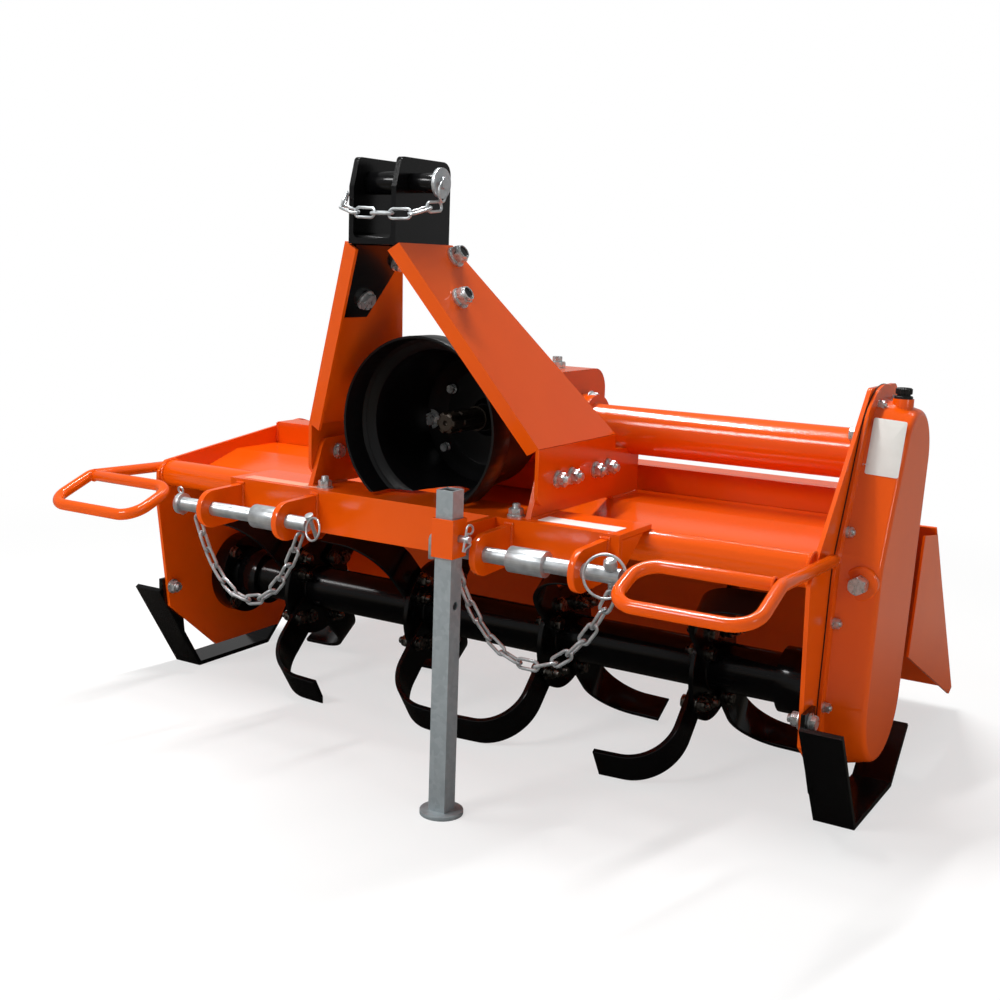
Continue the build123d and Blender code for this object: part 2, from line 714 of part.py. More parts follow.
def mast_chain_at(share):
    """A point of the mast's chain: a rounded rectangle about the mast, sagging towards its front."""
    turn = pi * (1 - share)
    sweep_x = abs(cos(turn)) ** 0.45 * (1 if cos(turn) > 0 else -1)
    return Vector(
        top_chain_mid_x + top_chain_half * sweep_x, top_y - top_chain_depth * sin(turn) ** 0.45,
        left_end_z + (right_end_z - left_end_z) * share - top_chain_sag * sin(turn),
    )


top_chain_mid_x = (top_collar_x - mast_outer - 8) / 2
top_chain_half = (top_collar_x + mast_outer + 12) / 2
left_end_z = top_z - (top_pin_d + top_link_wire) / 2
right_end_z = top_z - (top_head_d + top_link_width) / 2     # the last link stands upright
steps = 400
trail = [mast_chain_at(i / steps) for i in range(steps + 1)]
runs = [0.0]
for before, after in zip(trail, trail[1:]):
    runs.append(runs[-1] + (after - before).length)
places = []
for i in range(top_link_count):
    target = (i + 0.5) * runs[-1] / top_link_count
    k = next(k for k, run in enumerate(runs) if run >= target)
    ahead = trail[min(k + 8, steps)] - trail[max(k - 8, 0)]
    places.append((trail[k], ahead))
top_link_length = runs[-1] / top_link_count + 2 * top_link_wire + link_bite
top_sizes = (top_link_length, top_link_width, top_link_wire)
hung = chain(places, (0, 0, 1), top_sizes)
lift = top_z - top_pin_d / 2 - seat_gap - hung.bounding_box().max.Z
nodes["chain_top"] = Pos(0, 0, lift) * hung

# ---------------------------------------------------------------- rear flap
reach = hypot(flap_tip_y - hinge_y, flap_tip_z - hinge_z)
flap_dir = ((flap_tip_y - hinge_y) / reach, (flap_tip_z - hinge_z) / reach)


def down_flap(distance):
    """The point on the flap's front face at a distance from its hinge."""
    return (hinge_y + distance * flap_dir[0], hinge_z + distance * flap_dir[1])


sheet_start = hinge_barrel_d / 2 + 3
flap_line = [down_flap(sheet_start), down_flap(reach)]
flap = side_plate(flap_left_x, flap_right_x, bent_strip(flap_line, flap_t))
wing_face = [
    (hinge_y - 62, hinge_z - 12), (hinge_y + 24, hinge_z - 24), down_flap(reach),
    (flap_tip_y - 16, flap_tip_z - 6), (hinge_y - 100, hinge_z - 200),
]
for x0, x1 in ((flap_left_x, flap_left_x + flap_t), (flap_right_x - flap_t, flap_right_x)):
    flap += side_plate(x0, x1, wing_face)
flap_barrel_x = inner_half - 209        # middle of the outer turning barrels
for x in (-flap_barrel_x, -100, 100, flap_barrel_x):
    ends = (x - barrel_length / 2, x + barrel_length / 2)
    flap += rod_x(*ends, hinge_y, hinge_z, hinge_barrel_d)
    flap += side_plate(*ends, bent_strip([down_flap(4), down_flap(sheet_start + 2)], flap_t))
flap -= rod_x(-inner_half, inner_half, hinge_y, hinge_z, bore)
nodes["rear_flap"] = flap
flap_rod_end = hood_barrel_x + barrel_length / 2 + 20
nodes["flap_rod"] = rod_x(-flap_rod_end, flap_rod_end, hinge_y, hinge_z, hinge_rod_d)

# ---------------------------------------------------------------- place and write
boxes = [shape.bounding_box() for shape in nodes.values()]
low = [min(getattr(box.min, axis) for box in boxes) for axis in "XYZ"]
high = [max(getattr(box.max, axis) for box in boxes) for axis in "XYZ"]
shift = (-(low[0] + high[0]) / 2, -(low[1] + high[1]) / 2, -low[2])

os.makedirs("parts", exist_ok=True)
for name, shape in nodes.items():
    placed = Pos(*shift) * shape
    export_step(placed, "parts/" + name + ".step")
print("shift", [round(value, 4) for value in shift])
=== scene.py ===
"""Rotary tiller for a three-point hitch: finish, fasteners, chains and small trim around its CAD part.

Lengths are the machine's own millimetres until a mesh is made: X across from the input shaft's line,
Y backwards from the lower hitch pins and Z up from the ground.
"""

import json
import math

import bmesh
import bpy
import numpy as np
from mathutils import Matrix, Vector


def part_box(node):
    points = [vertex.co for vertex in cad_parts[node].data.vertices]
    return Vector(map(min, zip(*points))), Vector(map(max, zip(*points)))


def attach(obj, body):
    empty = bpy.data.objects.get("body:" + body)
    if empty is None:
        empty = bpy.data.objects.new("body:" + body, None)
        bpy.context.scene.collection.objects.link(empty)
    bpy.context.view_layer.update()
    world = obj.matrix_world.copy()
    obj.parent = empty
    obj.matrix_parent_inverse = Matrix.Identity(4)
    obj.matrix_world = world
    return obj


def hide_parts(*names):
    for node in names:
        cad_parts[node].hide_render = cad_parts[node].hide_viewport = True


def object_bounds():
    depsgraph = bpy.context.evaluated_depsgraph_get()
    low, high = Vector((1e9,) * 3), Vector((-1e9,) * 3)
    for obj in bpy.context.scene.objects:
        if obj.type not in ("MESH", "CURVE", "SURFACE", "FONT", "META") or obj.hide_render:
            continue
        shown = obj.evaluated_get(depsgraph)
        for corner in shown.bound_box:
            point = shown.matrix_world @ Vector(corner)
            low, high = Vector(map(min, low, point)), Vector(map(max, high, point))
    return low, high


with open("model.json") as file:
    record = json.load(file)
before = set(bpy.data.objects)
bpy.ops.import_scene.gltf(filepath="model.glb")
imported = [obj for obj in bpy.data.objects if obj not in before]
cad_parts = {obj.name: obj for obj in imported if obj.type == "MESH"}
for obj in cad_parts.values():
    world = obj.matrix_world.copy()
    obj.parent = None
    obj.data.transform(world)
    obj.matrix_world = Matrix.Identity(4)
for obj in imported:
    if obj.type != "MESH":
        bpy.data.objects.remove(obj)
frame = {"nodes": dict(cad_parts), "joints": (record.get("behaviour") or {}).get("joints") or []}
cad_low, cad_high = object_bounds()

# ------------------------ camera
# The whole machine from its front right, a little above the mast's foot, with a slight roll. The rotor's
# axle lies 340 mm behind the lower hitch pins, and ties the machine's millimetres to the frame.
ROTOR_Y, ROTOR_Z = 340.0, 167.0
rotor_at = next(Vector(joint["pos_m"]) for joint in frame["joints"] if joint["name"] == "rotor_spin")
datum = np.array([0.0, rotor_at.y * 1000 - ROTOR_Y, rotor_at.z * 1000 - ROTOR_Z])


def metres(points):
    """Machine millimetres to the frame's metres."""
    return (np.asarray(points, float) + datum) / 1000


CAMERA_AT = (1104.4, -1506.3, 768.0)
CAMERA_TURN, CAMERA_TILT, CAMERA_ROLL = (math.radians(angle) for angle in (31.03, 10.28, 2.0))
LENS, SENSOR = 46.97, 36.0
forward = Vector((-math.sin(CAMERA_TURN) * math.cos(CAMERA_TILT),
                  math.cos(CAMERA_TURN) * math.cos(CAMERA_TILT), -math.sin(CAMERA_TILT)))
level = Vector((math.cos(CAMERA_TURN), math.sin(CAMERA_TURN), 0))
upright = level.cross(forward)
right = level * math.cos(CAMERA_ROLL) + upright * math.sin(CAMERA_ROLL)
above = upright * math.cos(CAMERA_ROLL) - level * math.sin(CAMERA_ROLL)
camera = bpy.data.objects.new("camera", bpy.data.cameras.new("camera"))
camera.data.lens, camera.data.sensor_width = LENS, SENSOR
camera_ways = Matrix((right, above, -forward)).transposed().to_4x4()
camera.matrix_world = Matrix.Translation(metres(CAMERA_AT)) @ camera_ways
bpy.context.scene.collection.objects.link(camera)
bpy.context.scene.camera = camera

# ------------------------ studio
# A plain pale floor that fades into white, under a soft sky and long lamps. Gloss mirrors a dim, warm
# painted reflection of the floor, with a painted shadow darkest beneath the machine, and a dark ceiling, so
# that the paint keeps its depth.
scene = bpy.context.scene
scene.view_settings.view_transform = "Standard"


def srgb(code):
    """Linear colour of an sRGB hex value such as #E04B0C."""
    parts = np.array([int(code[i:i + 2], 16) for i in (1, 3, 5)]) / 255
    linear = np.where(parts <= 0.04045, parts / 12.92, ((parts + 0.055) / 1.055) ** 2.4)
    return (*linear.tolist(), 1.0)


def add_node(tree, kind, inputs=None, **settings):
    """One shader node with its own settings; each input is a value, another node's output, or another
    node, whose first output it takes."""
    node = tree.nodes.new("ShaderNode" + kind)
    for key, value in settings.items():
        setattr(node, key, value)
    for key, value in (inputs or {}).items():
        value = value.outputs[0] if isinstance(value, bpy.types.Node) else value
        if isinstance(value, bpy.types.NodeSocket):
            tree.links.new(value, node.inputs[key])
        else:
            node.inputs[key].default_value = value
    return node


def new_finish(name):
    """A new material, its emptied node tree and the Object coordinates that its patterns follow."""
    material = bpy.data.materials.new(name)
    material.use_nodes = True
    material.node_tree.nodes.clear()
    return material, material.node_tree, add_node(material.node_tree, "TexCoord").outputs["Object"]


def grid_faces(rows, columns, closed_rows=False):
    """Quads of a rows x columns grid of points: each row is a ring, and the last row joins the first where
    asked."""
    i, j = np.meshgrid(np.arange(rows if closed_rows else rows - 1), np.arange(columns), indexing="ij")
    down, across = (i + 1) % rows, (j + 1) % columns
    corners = (i * columns + j, i * columns + across, down * columns + across, down * columns + j)
    return np.stack(corners, -1).reshape(-1, 4)


def build_mesh(name, points, faces, material, merge=1e-6, smooth_up_to=32):
    """A mesh of metres and faces: doubles merged, faces turned outwards, and shaded smooth where they meet
    at less than the given degrees."""
    mesh = bpy.data.meshes.new(name)
    mesh.from_pydata(np.asarray(points).reshape(-1, 3).tolist(), [], np.asarray(faces).tolist())
    shape = bmesh.new()
    shape.from_mesh(mesh)
    bmesh.ops.remove_doubles(shape, verts=shape.verts, dist=merge)
    bmesh.ops.dissolve_degenerate(shape, edges=shape.edges, dist=merge)
    bmesh.ops.recalc_face_normals(shape, faces=shape.faces)
    shape.to_mesh(mesh)
    shape.free()
    mesh.shade_smooth()
    mesh.set_sharp_from_angle(angle=math.radians(smooth_up_to))
    mesh.materials.append(material)
    thing = bpy.data.objects.new(name, mesh)
    bpy.context.scene.collection.objects.link(thing)
    return thing


studio_floor, tree, place = new_finish("pale studio floor")
rays = add_node(tree, "LightPath").outputs
distance = add_node(tree, "VectorMath", {0: place}, operation="LENGTH").outputs["Value"]
fade = add_node(tree, "MapRange", {"Value": distance, "From Min": 0.7, "From Max": 2.4, "To Min": 0.6},
                interpolation_type="SMOOTHSTEP")
seen = add_node(tree, "Math", {0: fade, 1: rays["Is Camera Ray"]}, operation="MULTIPLY")
paper = add_node(tree, "BsdfDiffuse", {"Color": srgb("#F4F4F3")})
white = add_node(tree, "Emission", {"Color": (1, 1, 1, 1), "Strength": 1.0})
faded = add_node(tree, "MixShader", {0: seen, 1: paper, 2: white})
# what gloss sees of the floor: a warm painted reflection, with a painted shadow that darkens it beneath the
# machine
shade = add_node(tree, "MapRange", {"Value": distance, "From Min": 0.55, "From Max": 1.5, "To Min": 0.02,
                                    "To Max": 0.3}, interpolation_type="SMOOTHSTEP")
painted_floor_reflection = add_node(tree, "Emission", {"Color": srgb("#FFF3E2"), "Strength": shade})
mixed = add_node(tree, "MixShader", {0: rays["Is Glossy Ray"], 1: faded, 2: painted_floor_reflection})
add_node(tree, "OutputMaterial", {"Surface": mixed})

FLOOR_RINGS, FLOOR_SIDES = (0.0, 0.6, 1.2, 2.0, 3.0, 5.0, 9.0), 48
turns = np.linspace(0, 2 * np.pi, FLOOR_SIDES, endpoint=False)
disc = np.stack([np.outer(FLOOR_RINGS, np.cos(turns)), np.outer(FLOOR_RINGS, np.sin(turns)),
                 np.full((len(FLOOR_RINGS), FLOOR_SIDES), cad_low.z)], -1)
floor = build_mesh("studio_floor", disc, grid_faces(len(FLOOR_RINGS), FLOOR_SIDES), studio_floor)

world = bpy.data.worlds.new("studio")
scene.world = world
world.use_nodes = True
tree = world.node_tree
tree.nodes.clear()
soft = add_node(tree, "Background", {"Color": (1, 1, 1, 1), "Strength": 0.27})
white = add_node(tree, "Background", {"Color": (1, 1, 1, 1), "Strength": 1.0})
up_way = add_node(tree, "SeparateXYZ", {"Vector": add_node(tree, "TexCoord").outputs["Generated"]})
backdrop = add_node(tree, "MapRange", {"Value": up_way.outputs["Z"], "From Min": 0.3, "From Max": 0.55,
                                       "To Min": 0.12, "To Max": 0.0}, interpolation_type="SMOOTHSTEP")
rays = add_node(tree, "LightPath").outputs
bounced = add_node(tree, "Math", {0: rays["Is Glossy Ray"], 1: rays["Is Transmission Ray"]},
                   operation="MAXIMUM")
dimmed = add_node(tree, "Math", {0: bounced, 1: backdrop}, operation="MULTIPLY")
seen = add_node(tree, "Math", {0: rays["Is Camera Ray"], 1: dimmed}, operation="MAXIMUM")
mixed = add_node(tree, "MixShader", {0: seen, 1: soft, 2: white})
add_node(tree, "OutputWorld", {"Surface": mixed})

# lamp: name, place (m from the floor's middle), width, height, watts
LAMPS = (
    ("lamp_overhead", (-0.4, 0.1, 3.0), 2.0, 0.12, 86),
    ("lamp_front", (-1.2, -3.0, 2.6), 1.2, 0.7, 56),
    ("lamp_right", (3.2, -1.4, 1.8), 0.5, 1.0, 9),
    ("lamp_back", (0.6, 2.0, 3.0), 1.6, 0.1, 6),
)
LAMPS_AIM = Vector((0, 0, 0.35))
for name, spot, width, height, watts in LAMPS:
    lamp = bpy.data.lights.new(name, "AREA")
    lamp.shape, lamp.size, lamp.size_y, lamp.energy = "RECTANGLE", width, height, watts
    holder = bpy.data.objects.new(name, lamp)
    holder.location = spot
    holder.rotation_euler = (LAMPS_AIM - Vector(spot)).to_track_quat("-Z", "Y").to_euler()
    scene.collection.objects.link(holder)

# ------------------------ painted steelwork
# Cut and folded steel plate, tube and castings, welded and then powder coated in orange. The powder
# flows out into a glossy skin with a fine orange peel, and pulls thin along edges.


def steel_paint(name, colour, deep, roughness, peel, gloss):
    """Baked paint or moulded plastic: its colour drifts over about 140 mm, and an orange peel of 2.5 mm
    ripples breaks up what it mirrors."""
    material, tree, place = new_finish(name)
    drift = add_node(tree, "TexNoise", {"Vector": place, "Scale": 7.0, "Detail": 3.0, "Roughness": 0.55})
    skin = add_node(tree, "TexNoise", {"Vector": place, "Scale": 400.0, "Detail": 1.5, "Roughness": 0.4})
    tone = add_node(tree, "MixRGB", {"Fac": drift, "Color1": srgb(colour), "Color2": srgb(deep)})
    shine = add_node(tree, "MapRange", {"Value": drift, "From Min": 0.3, "From Max": 0.7,
                                        "To Min": roughness * 0.88, "To Max": roughness * 1.15})
    bump = add_node(tree, "Bump", {"Height": skin, "Strength": peel, "Distance": 0.0004})
    paint = add_node(tree, "BsdfPrincipled", {"Base Color": tone, "Roughness": shine, "Normal": bump,
                                              "IOR": 1.5, "Specular IOR Level": gloss})
    add_node(tree, "OutputMaterial", {"Surface": paint})
    return material


def finish_nodes(names, material, edge=0.7, flat=False):
    """CAD nodes keep their shape, get the finish, and a small rounded edge (mm) where two faces meet at
    more than 38 degrees. Flat plate gets it from 22 degrees, and is shaded by its large faces alone."""
    for name in names:
        node = frame["nodes"][name]
        node.data.materials.clear()
        node.data.materials.append(material)
        weld = node.modifiers.new("weld", "WELD")
        weld.merge_threshold = 1e-5
        bevel = node.modifiers.new("edge", "BEVEL")
        bevel.width, bevel.segments = edge / 1000, 2
        bevel.limit_method, bevel.angle_limit = "ANGLE", math.radians(22 if flat else 38)
        bevel.harden_normals = bevel.use_clamp_overlap = True
        if flat:
            node.modifiers.new("level faces", "WEIGHTED_NORMAL").weight = 100


orange_coat = steel_paint("orange powder coat on steel", "#EA5A06", "#E05004", 0.13, 0.3, 0.45)
plate_names = ["side_plate_left", "side_plate_right", "hitch_beam", "hood", "rear_crossbar", "brace_left",
               "brace_right", "upright_left", "upright_right", "rear_flap"]
round_names = ["front_tube", "hitch_ears_left", "hitch_ears_right", "gearbox", "input_bearing",
               "drive_tube", "support_tube", "chain_case", "loop_left", "loop_right", "stand_socket"]
finish_nodes(plate_names, orange_coat, flat=True)
finish_nodes(round_names, orange_coat)

# ------------------------ black steelwork
# Rotor, skids, mast bracket and bearing housings, of hot-rolled steel dipped in black gloss enamel. It is
# thinner and flatter than the powder coat, and shows as narrow highlights on black.
black_enamel = steel_paint("black gloss enamel on steel", "#060607", "#0A0A0B", 0.17, 0.14, 0.3)
black_names = ["mast_bracket", "top_bush", "top_spacer", "rotor_bearing_left", "rotor_bearing_right",
               "rotor_tube", "skid_left", "skid_right"]
finish_nodes(black_names, black_enamel)

# ------------------------ input guard
# A spun steel drum about the input shaft, on a cone that carries it, keeps hands off the drive shaft. Its
# sprayed satin black scatters the light into a broad, weak sheen.
satin_black = steel_paint("satin black paint on steel", "#08080A", "#0D0D0E", 0.34, 0.12, 0.3)
finish_nodes(["input_guard", "guard_cone"], satin_black)

# ------------------------ hitch pins, bushes and rods
# Turned from drawn bar and bright zinc plated: a cool grey metal, clouded by the chromate dip over it,
# with the bar's faint drawing lines along each pin.


def plated_steel(name, colour, dull, roughness, cloud, drawn, metallic):
    """Zinc on steel: two greys clouded over `cloud` patches per metre, with lines 1.5 mm apart of the
    strength `drawn` along the pins, across the machine."""
    material, tree, place = new_finish(name)
    stretched = add_node(tree, "Mapping", {"Vector": place, "Scale": (0.06, 1, 1)})
    patch = add_node(tree, "TexNoise", {"Vector": place, "Scale": cloud, "Detail": 3.0, "Roughness": 0.5})
    lines = add_node(tree, "TexNoise", {"Vector": stretched, "Scale": 650.0, "Detail": 2.0})
    both = add_node(tree, "Math", {0: lines, 1: drawn, 2: patch}, operation="MULTIPLY_ADD")
    shade = add_node(tree, "MapRange", {"Value": both, "From Min": 0.35 * (1 + drawn),
                                        "From Max": 0.65 * (1 + drawn)})
    tone = add_node(tree, "MixRGB", {"Fac": shade, "Color1": srgb(dull), "Color2": srgb(colour)})
    shine = add_node(tree, "MapRange", {"Value": patch, "From Min": 0.35, "From Max": 0.65,
                                        "To Min": roughness * 0.85, "To Max": roughness * 1.2})
    bump = add_node(tree, "Bump", {"Height": lines, "Strength": 0.15 * drawn, "Distance": 0.0001})
    metal = add_node(tree, "BsdfPrincipled", {"Base Color": tone, "Metallic": metallic, "Roughness": shine,
                                              "Normal": bump})
    add_node(tree, "OutputMaterial", {"Surface": metal})
    return material


bright_zinc = plated_steel("bright zinc plate on steel", "#DCE0E2", "#B8BDC0", 0.36, 60.0, 0.7, 0.8)
zinc_names = ["lower_pin_left", "lower_pin_right", "hitch_bush_left", "hitch_bush_right", "top_pin",
              "stand_pin", "flap_rod"]
finish_nodes(zinc_names, bright_zinc, 0.5)

# ------------------------ parking stand
# A leg of square tube, cut and drilled and then dipped in molten zinc. That leaves a dull blue grey skin
# with crystals about 7 mm across, some paler than others, and rounds the tube's edges.
galvanised, tree, place = new_finish("hot dip galvanised steel")
spangle = add_node(tree, "TexVoronoi", {"Vector": place, "Scale": 140.0}, feature="F1")
bleached = add_node(tree, "RGBToBW", {"Color": spangle.outputs["Color"]})
tone = add_node(tree, "MixRGB", {"Fac": bleached, "Color1": srgb("#9DA6AA"), "Color2": srgb("#AFB7BA")})
shine = add_node(tree, "MapRange", {"Value": bleached, "To Min": 0.42, "To Max": 0.56})
metal = add_node(tree, "BsdfPrincipled", {"Base Color": tone, "Metallic": 0.45, "Roughness": shine})
add_node(tree, "OutputMaterial", {"Surface": metal})
finish_nodes(["stand_leg"], galvanised, 1.2)

# ------------------------ drive stub
# The shaft that takes the tractor's drive: turned bar with six splines milled in it and a groove for the
# yoke's locking pin. It is bare, oiled steel, browned by handling, and a black collar seals its housing.


def facing(axis, up=(0, 0, 1)):
    """Rows across, upwards and along: the frame of a piece whose own z axis runs along `axis`."""
    along = np.asarray(axis, float) / np.linalg.norm(axis)
    across = np.cross(up, along)
    across /= np.linalg.norm(across)
    return np.stack([across, np.cross(along, across), along])


def placed(grid, at, axis, up=(0, 0, 1)):
    """Local millimetres turned to face along `axis` and carried to the machine's millimetres `at`."""
    return np.asarray(grid) @ facing(axis, up) + np.asarray(at, float)


def turned(rows, sides):
    """A turned form: a ring for each row of radius and height, the radius one for all angles or one for
    each of them."""
    angle = np.linspace(0, 2 * np.pi, sides, endpoint=False)
    radius = np.stack([np.broadcast_to(ring_r, sides) for ring_r, _ in rows])
    height = np.repeat([[lift] for _, lift in rows], sides, axis=1)
    return np.stack([radius * np.cos(angle), radius * np.sin(angle), height], -1)


def corners_of(node):
    """A CAD node's lowest and highest corners, in machine millimetres."""
    return [np.array(corner) * 1000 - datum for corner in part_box(node)]


def assemble(name, parts, material, body="frame", closed_rows=False):
    """One joined mesh of grids, in machine millimetres, that rides on a body of the machine."""
    faces, start = [], 0
    for grid in parts:
        rows, columns = grid.shape[:2]
        faces.append(grid_faces(rows, columns, closed_rows) + start)
        start += rows * columns
    points = metres(np.concatenate([grid.reshape(-1, 3) for grid in parts]))
    piece = build_mesh(name, points, np.concatenate(faces), material)
    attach(piece, body)
    return piece


# bare steel under old oil: a dull metal with brown stains about 11 mm across
oiled_steel, tree, place = new_finish("oiled bare steel")
stain = add_node(tree, "TexNoise", {"Vector": place, "Scale": 90.0, "Detail": 4.0, "Roughness": 0.6})
tone = add_node(tree, "MixRGB", {"Fac": stain, "Color1": srgb("#4E4439"), "Color2": srgb("#1F1A17")})
shine = add_node(tree, "MapRange", {"Value": stain, "To Min": 0.28, "To Max": 0.5})
metal = add_node(tree, "BsdfPrincipled", {"Base Color": tone, "Metallic": 0.6, "Roughness": shine})
add_node(tree, "OutputMaterial", {"Surface": metal})

stub_low, stub_high = corners_of("input_shaft")
stub_at = ((stub_low[0] + stub_high[0]) / 2, stub_low[1], (stub_low[2] + stub_high[2]) / 2)
stub_length = stub_high[1] - stub_low[1]
# radius over the splines, at their roots, in the groove and of the neck behind; number and length of the
# splines, and the groove's distance from the end. A spline is a steep cosine cut off at root and crest.
STUB_R, STUB_ROOT, GROOVE_R, NECK_R = 17.45, 14.2, 14.9, 20.0
SPLINES, SPLINE_LENGTH, GROOVE_AT, STEEP = 6, 88.0, 27.0, 5
angle = np.linspace(0, 2 * np.pi, 144, endpoint=False)
wave = 0.5 + np.cos(SPLINES * angle) * STEEP
toothed, run_out = (STUB_ROOT + (STUB_R - STUB_ROOT) * np.clip(cut, 0, 1) for cut in (wave, wave + STEEP))
grooved = np.minimum(toothed, GROOVE_R)
stub_rows = [(0, 5), (2.5, 4), (4.2, 0), (STUB_ROOT - 2.5, 0), (STUB_ROOT - 1, 1), (toothed - 1.2, 1.2),
             (toothed, 3.5), (toothed, GROOVE_AT - 5), (grooved, GROOVE_AT - 3), (grooved, GROOVE_AT + 3),
             (toothed, GROOVE_AT + 5), (toothed, SPLINE_LENGTH - 12), (run_out, SPLINE_LENGTH - 2),
             (STUB_R, SPLINE_LENGTH), (NECK_R, SPLINE_LENGTH), (NECK_R, stub_length), (0, stub_length)]
stub_grid = placed(turned(stub_rows, len(angle)), stub_at, (0, 1, 0))
splined_stub = assemble("splined_stub", [stub_grid], oiled_steel, "input")
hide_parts("input_shaft")

COLLAR_BURIED = 4.2
collar_rows = [(20.6, 0), (31, 0), (31, 4), (25, 13), (22, 16), (20.6, 16)]
collar_at = (stub_at[0], corners_of("guard_cone")[1][1] - COLLAR_BURIED, stub_at[2])
collar_grid = placed(turned(collar_rows, 96), collar_at, (0, -1, 0))
shaft_collar = assemble("shaft_collar", [collar_grid], satin_black, closed_rows=True)

# ------------------------ brace and foot bolts
# Zinc plated hexagon bolts join the mast's legs to the braces, with black nylon in their lock nuts'
# collars. Others join the braces' feet to the uprights: nuts and bolt ends outside, heads inside.
# plated loose in a barrel: brighter than the pins, clouded every 6 mm and with no drawing lines
bolt_zinc = plated_steel("bright zinc plate on bolts", "#E2E5E6", "#BBBFC0", 0.3, 160.0, 0.0, 0.8)
# across flats, washer and thread of each size of bolt
M16, M12, M10, M8 = (24.0, 31.0, 16.0), (19.0, 26.0, 12.0), (17.0, 21.0, 10.0), (13.0, 16.0, 8.0)
NUT_HIGH, COLLAR_HIGH, INSERT_DEPTH, THREAD_PITCH = 14.0, 4.5, 2.0, 1.5


def hexagon(size, height, tail=0.0, washer=2.2, sides=36, collar=0.0):
    """Washer and hexagon with a threaded end, a hollow collar or a plain top, in one grid. The hexagon's
    radius is half its width over the cosine of the angle from the nearest flat's middle, and the lesser of
    that and a circle bevels its ends."""
    across, washer_d, thread = size
    angle = np.linspace(0, 2 * np.pi, sides, endpoint=False)
    flat = (angle + np.pi / 6) % (np.pi / 3) - np.pi / 6
    six = across / 2 / np.cos(flat)
    rim = np.minimum(six, across * 0.515)
    rows = [(0, 0), (washer_d / 2, 0), (washer_d / 2, washer), (rim, washer), (six, washer + 0.06 * across),
            (six, height - 0.07 * across), (rim, height)]
    threads = height + THREAD_PITCH * np.arange(int(tail / THREAD_PITCH))
    for root in threads:
        rows += [(thread / 2 - 0.5, root), (thread / 2, root + THREAD_PITCH / 2)]
    if len(threads):
        rows += [(thread / 2 - 1.2, height + tail), (0, height + tail)]
    elif collar:
        top = height + collar
        rows += [(0.45 * across, height), (0.44 * across, top - 0.7), (0.42 * across, top),
                 (0.37 * across, top), (0.36 * across, top - INSERT_DEPTH), (0, top - INSERT_DEPTH)]
    else:
        rows += [(0.72 * across / 2, height - 0.1), (0, height - 0.25)]
    return turned(rows, sides)


def turned_over(vector, side):
    """The same point or direction on the other side of the machine."""
    return (vector[0] * side, vector[1], vector[2])


# the brace's line from the mast down to its foot, each plate's thickness and the gap at the mast
MAST_OUTER, MAST_FOOT, FOOT_X, FOOT_TOP = 40.0, 788.0, 203.0, 508.0
BRACE_T, MAST_T, UPRIGHT_T, MAST_GAP = 6.0, 8.0, 8.0, 1.0
# distance down the brace and along the machine; along and up at the foot; and the bolt in the beam
BRACE_BOLTS, BEAM_BOLT = ((20, 87), (86, 51)), (175, 85, 411)
FOOT_BOLTS, FOOT_BOLT_Z = (142, 184, 261, 303), 462
lean = math.atan2(FOOT_X - MAST_OUTER - MAST_GAP, MAST_FOOT - FOOT_TOP)
brace_out = np.array([math.cos(lean), 0, math.sin(lean)])
down_brace = np.array([math.sin(lean), 0, -math.cos(lean)])
nylon_at = NUT_HIGH + COLLAR_HIGH - INSERT_DEPTH
nylon_rows = [(0, nylon_at), (8.6, nylon_at), (8.6, nylon_at + 0.7), (7, nylon_at + 0.7),
              (6.6, nylon_at + 0.3), (0, nylon_at + 0.3)]
bolts, inserts = [], []
for side in (-1, 1):
    outwards, inwards = turned_over(brace_out, side), turned_over(-brace_out, side)
    for along, y in BRACE_BOLTS:
        seat = np.array([MAST_OUTER + MAST_GAP, y, MAST_FOOT]) + down_brace * along
        nut_at = turned_over(seat + brace_out * BRACE_T, side)
        head_at = turned_over(seat - brace_out * (MAST_T + MAST_GAP), side)
        lock_nut = hexagon(M16, NUT_HIGH, washer=3, collar=COLLAR_HIGH)
        bolts.append(placed(lock_nut, nut_at, outwards, (0, 1, 0)))
        inserts.append(placed(turned(nylon_rows, 36), nut_at, outwards, (0, 1, 0)))
        bolts.append(placed(hexagon(M16, 11, washer=3), head_at, inwards, (0, 1, 0)))
    for y in FOOT_BOLTS:
        bolts.append(placed(hexagon(M12, 14, 6), ((FOOT_X + BRACE_T) * side, y, FOOT_BOLT_Z), (side, 0, 0)))
        bolts.append(placed(hexagon(M12, 9), ((FOOT_X - UPRIGHT_T) * side, y, FOOT_BOLT_Z), (-side, 0, 0)))
    bolts.append(placed(hexagon(M12, 12, 7), turned_over(BEAM_BOLT, side), (0, 0, 1), (0, 1, 0)))
brace_bolts = assemble("brace_bolts", bolts, bolt_zinc)
# nylon rings pressed into the nuts: black, with a weak, broad sheen
nylon = steel_paint("black nylon in lock nuts", "#0D0E0F", "#17181A", 0.45, 0.1, 0.3)
nut_inserts = assemble("brace_nut_inserts", inserts, nylon)

# ------------------------ blades
# Forged spring steel blades, four to a flange, each with an arm that bends round to one side. The side
# part is turned a little so that its leading edge, ground thin from the inside, runs furthest out.
FLANGES, FLANGE_R, FLANGE_HALF, TUBE_R = (-396.0, -134.0, 128.0, 390.0), 88.0, 4.0, 38.5
FIRST_SIDES, BLADE_ANGLES = (-1, -1, 1, 1), np.radians([45, 135, 225, 315])
BLADE_T, BLADE_REACH, BLADE_BEND, BLADE_MID_R, BLADE_TURN = 8.0, 114.0, 76.0, 200.0, math.radians(15)
# half a blade's width and what its side loses of it; how wide its edge is ground, and how deep
ARM_HALF, SIDE_LESS, GROUND_WIDE, GROUND_TO = 30, 4, 10, 1.4


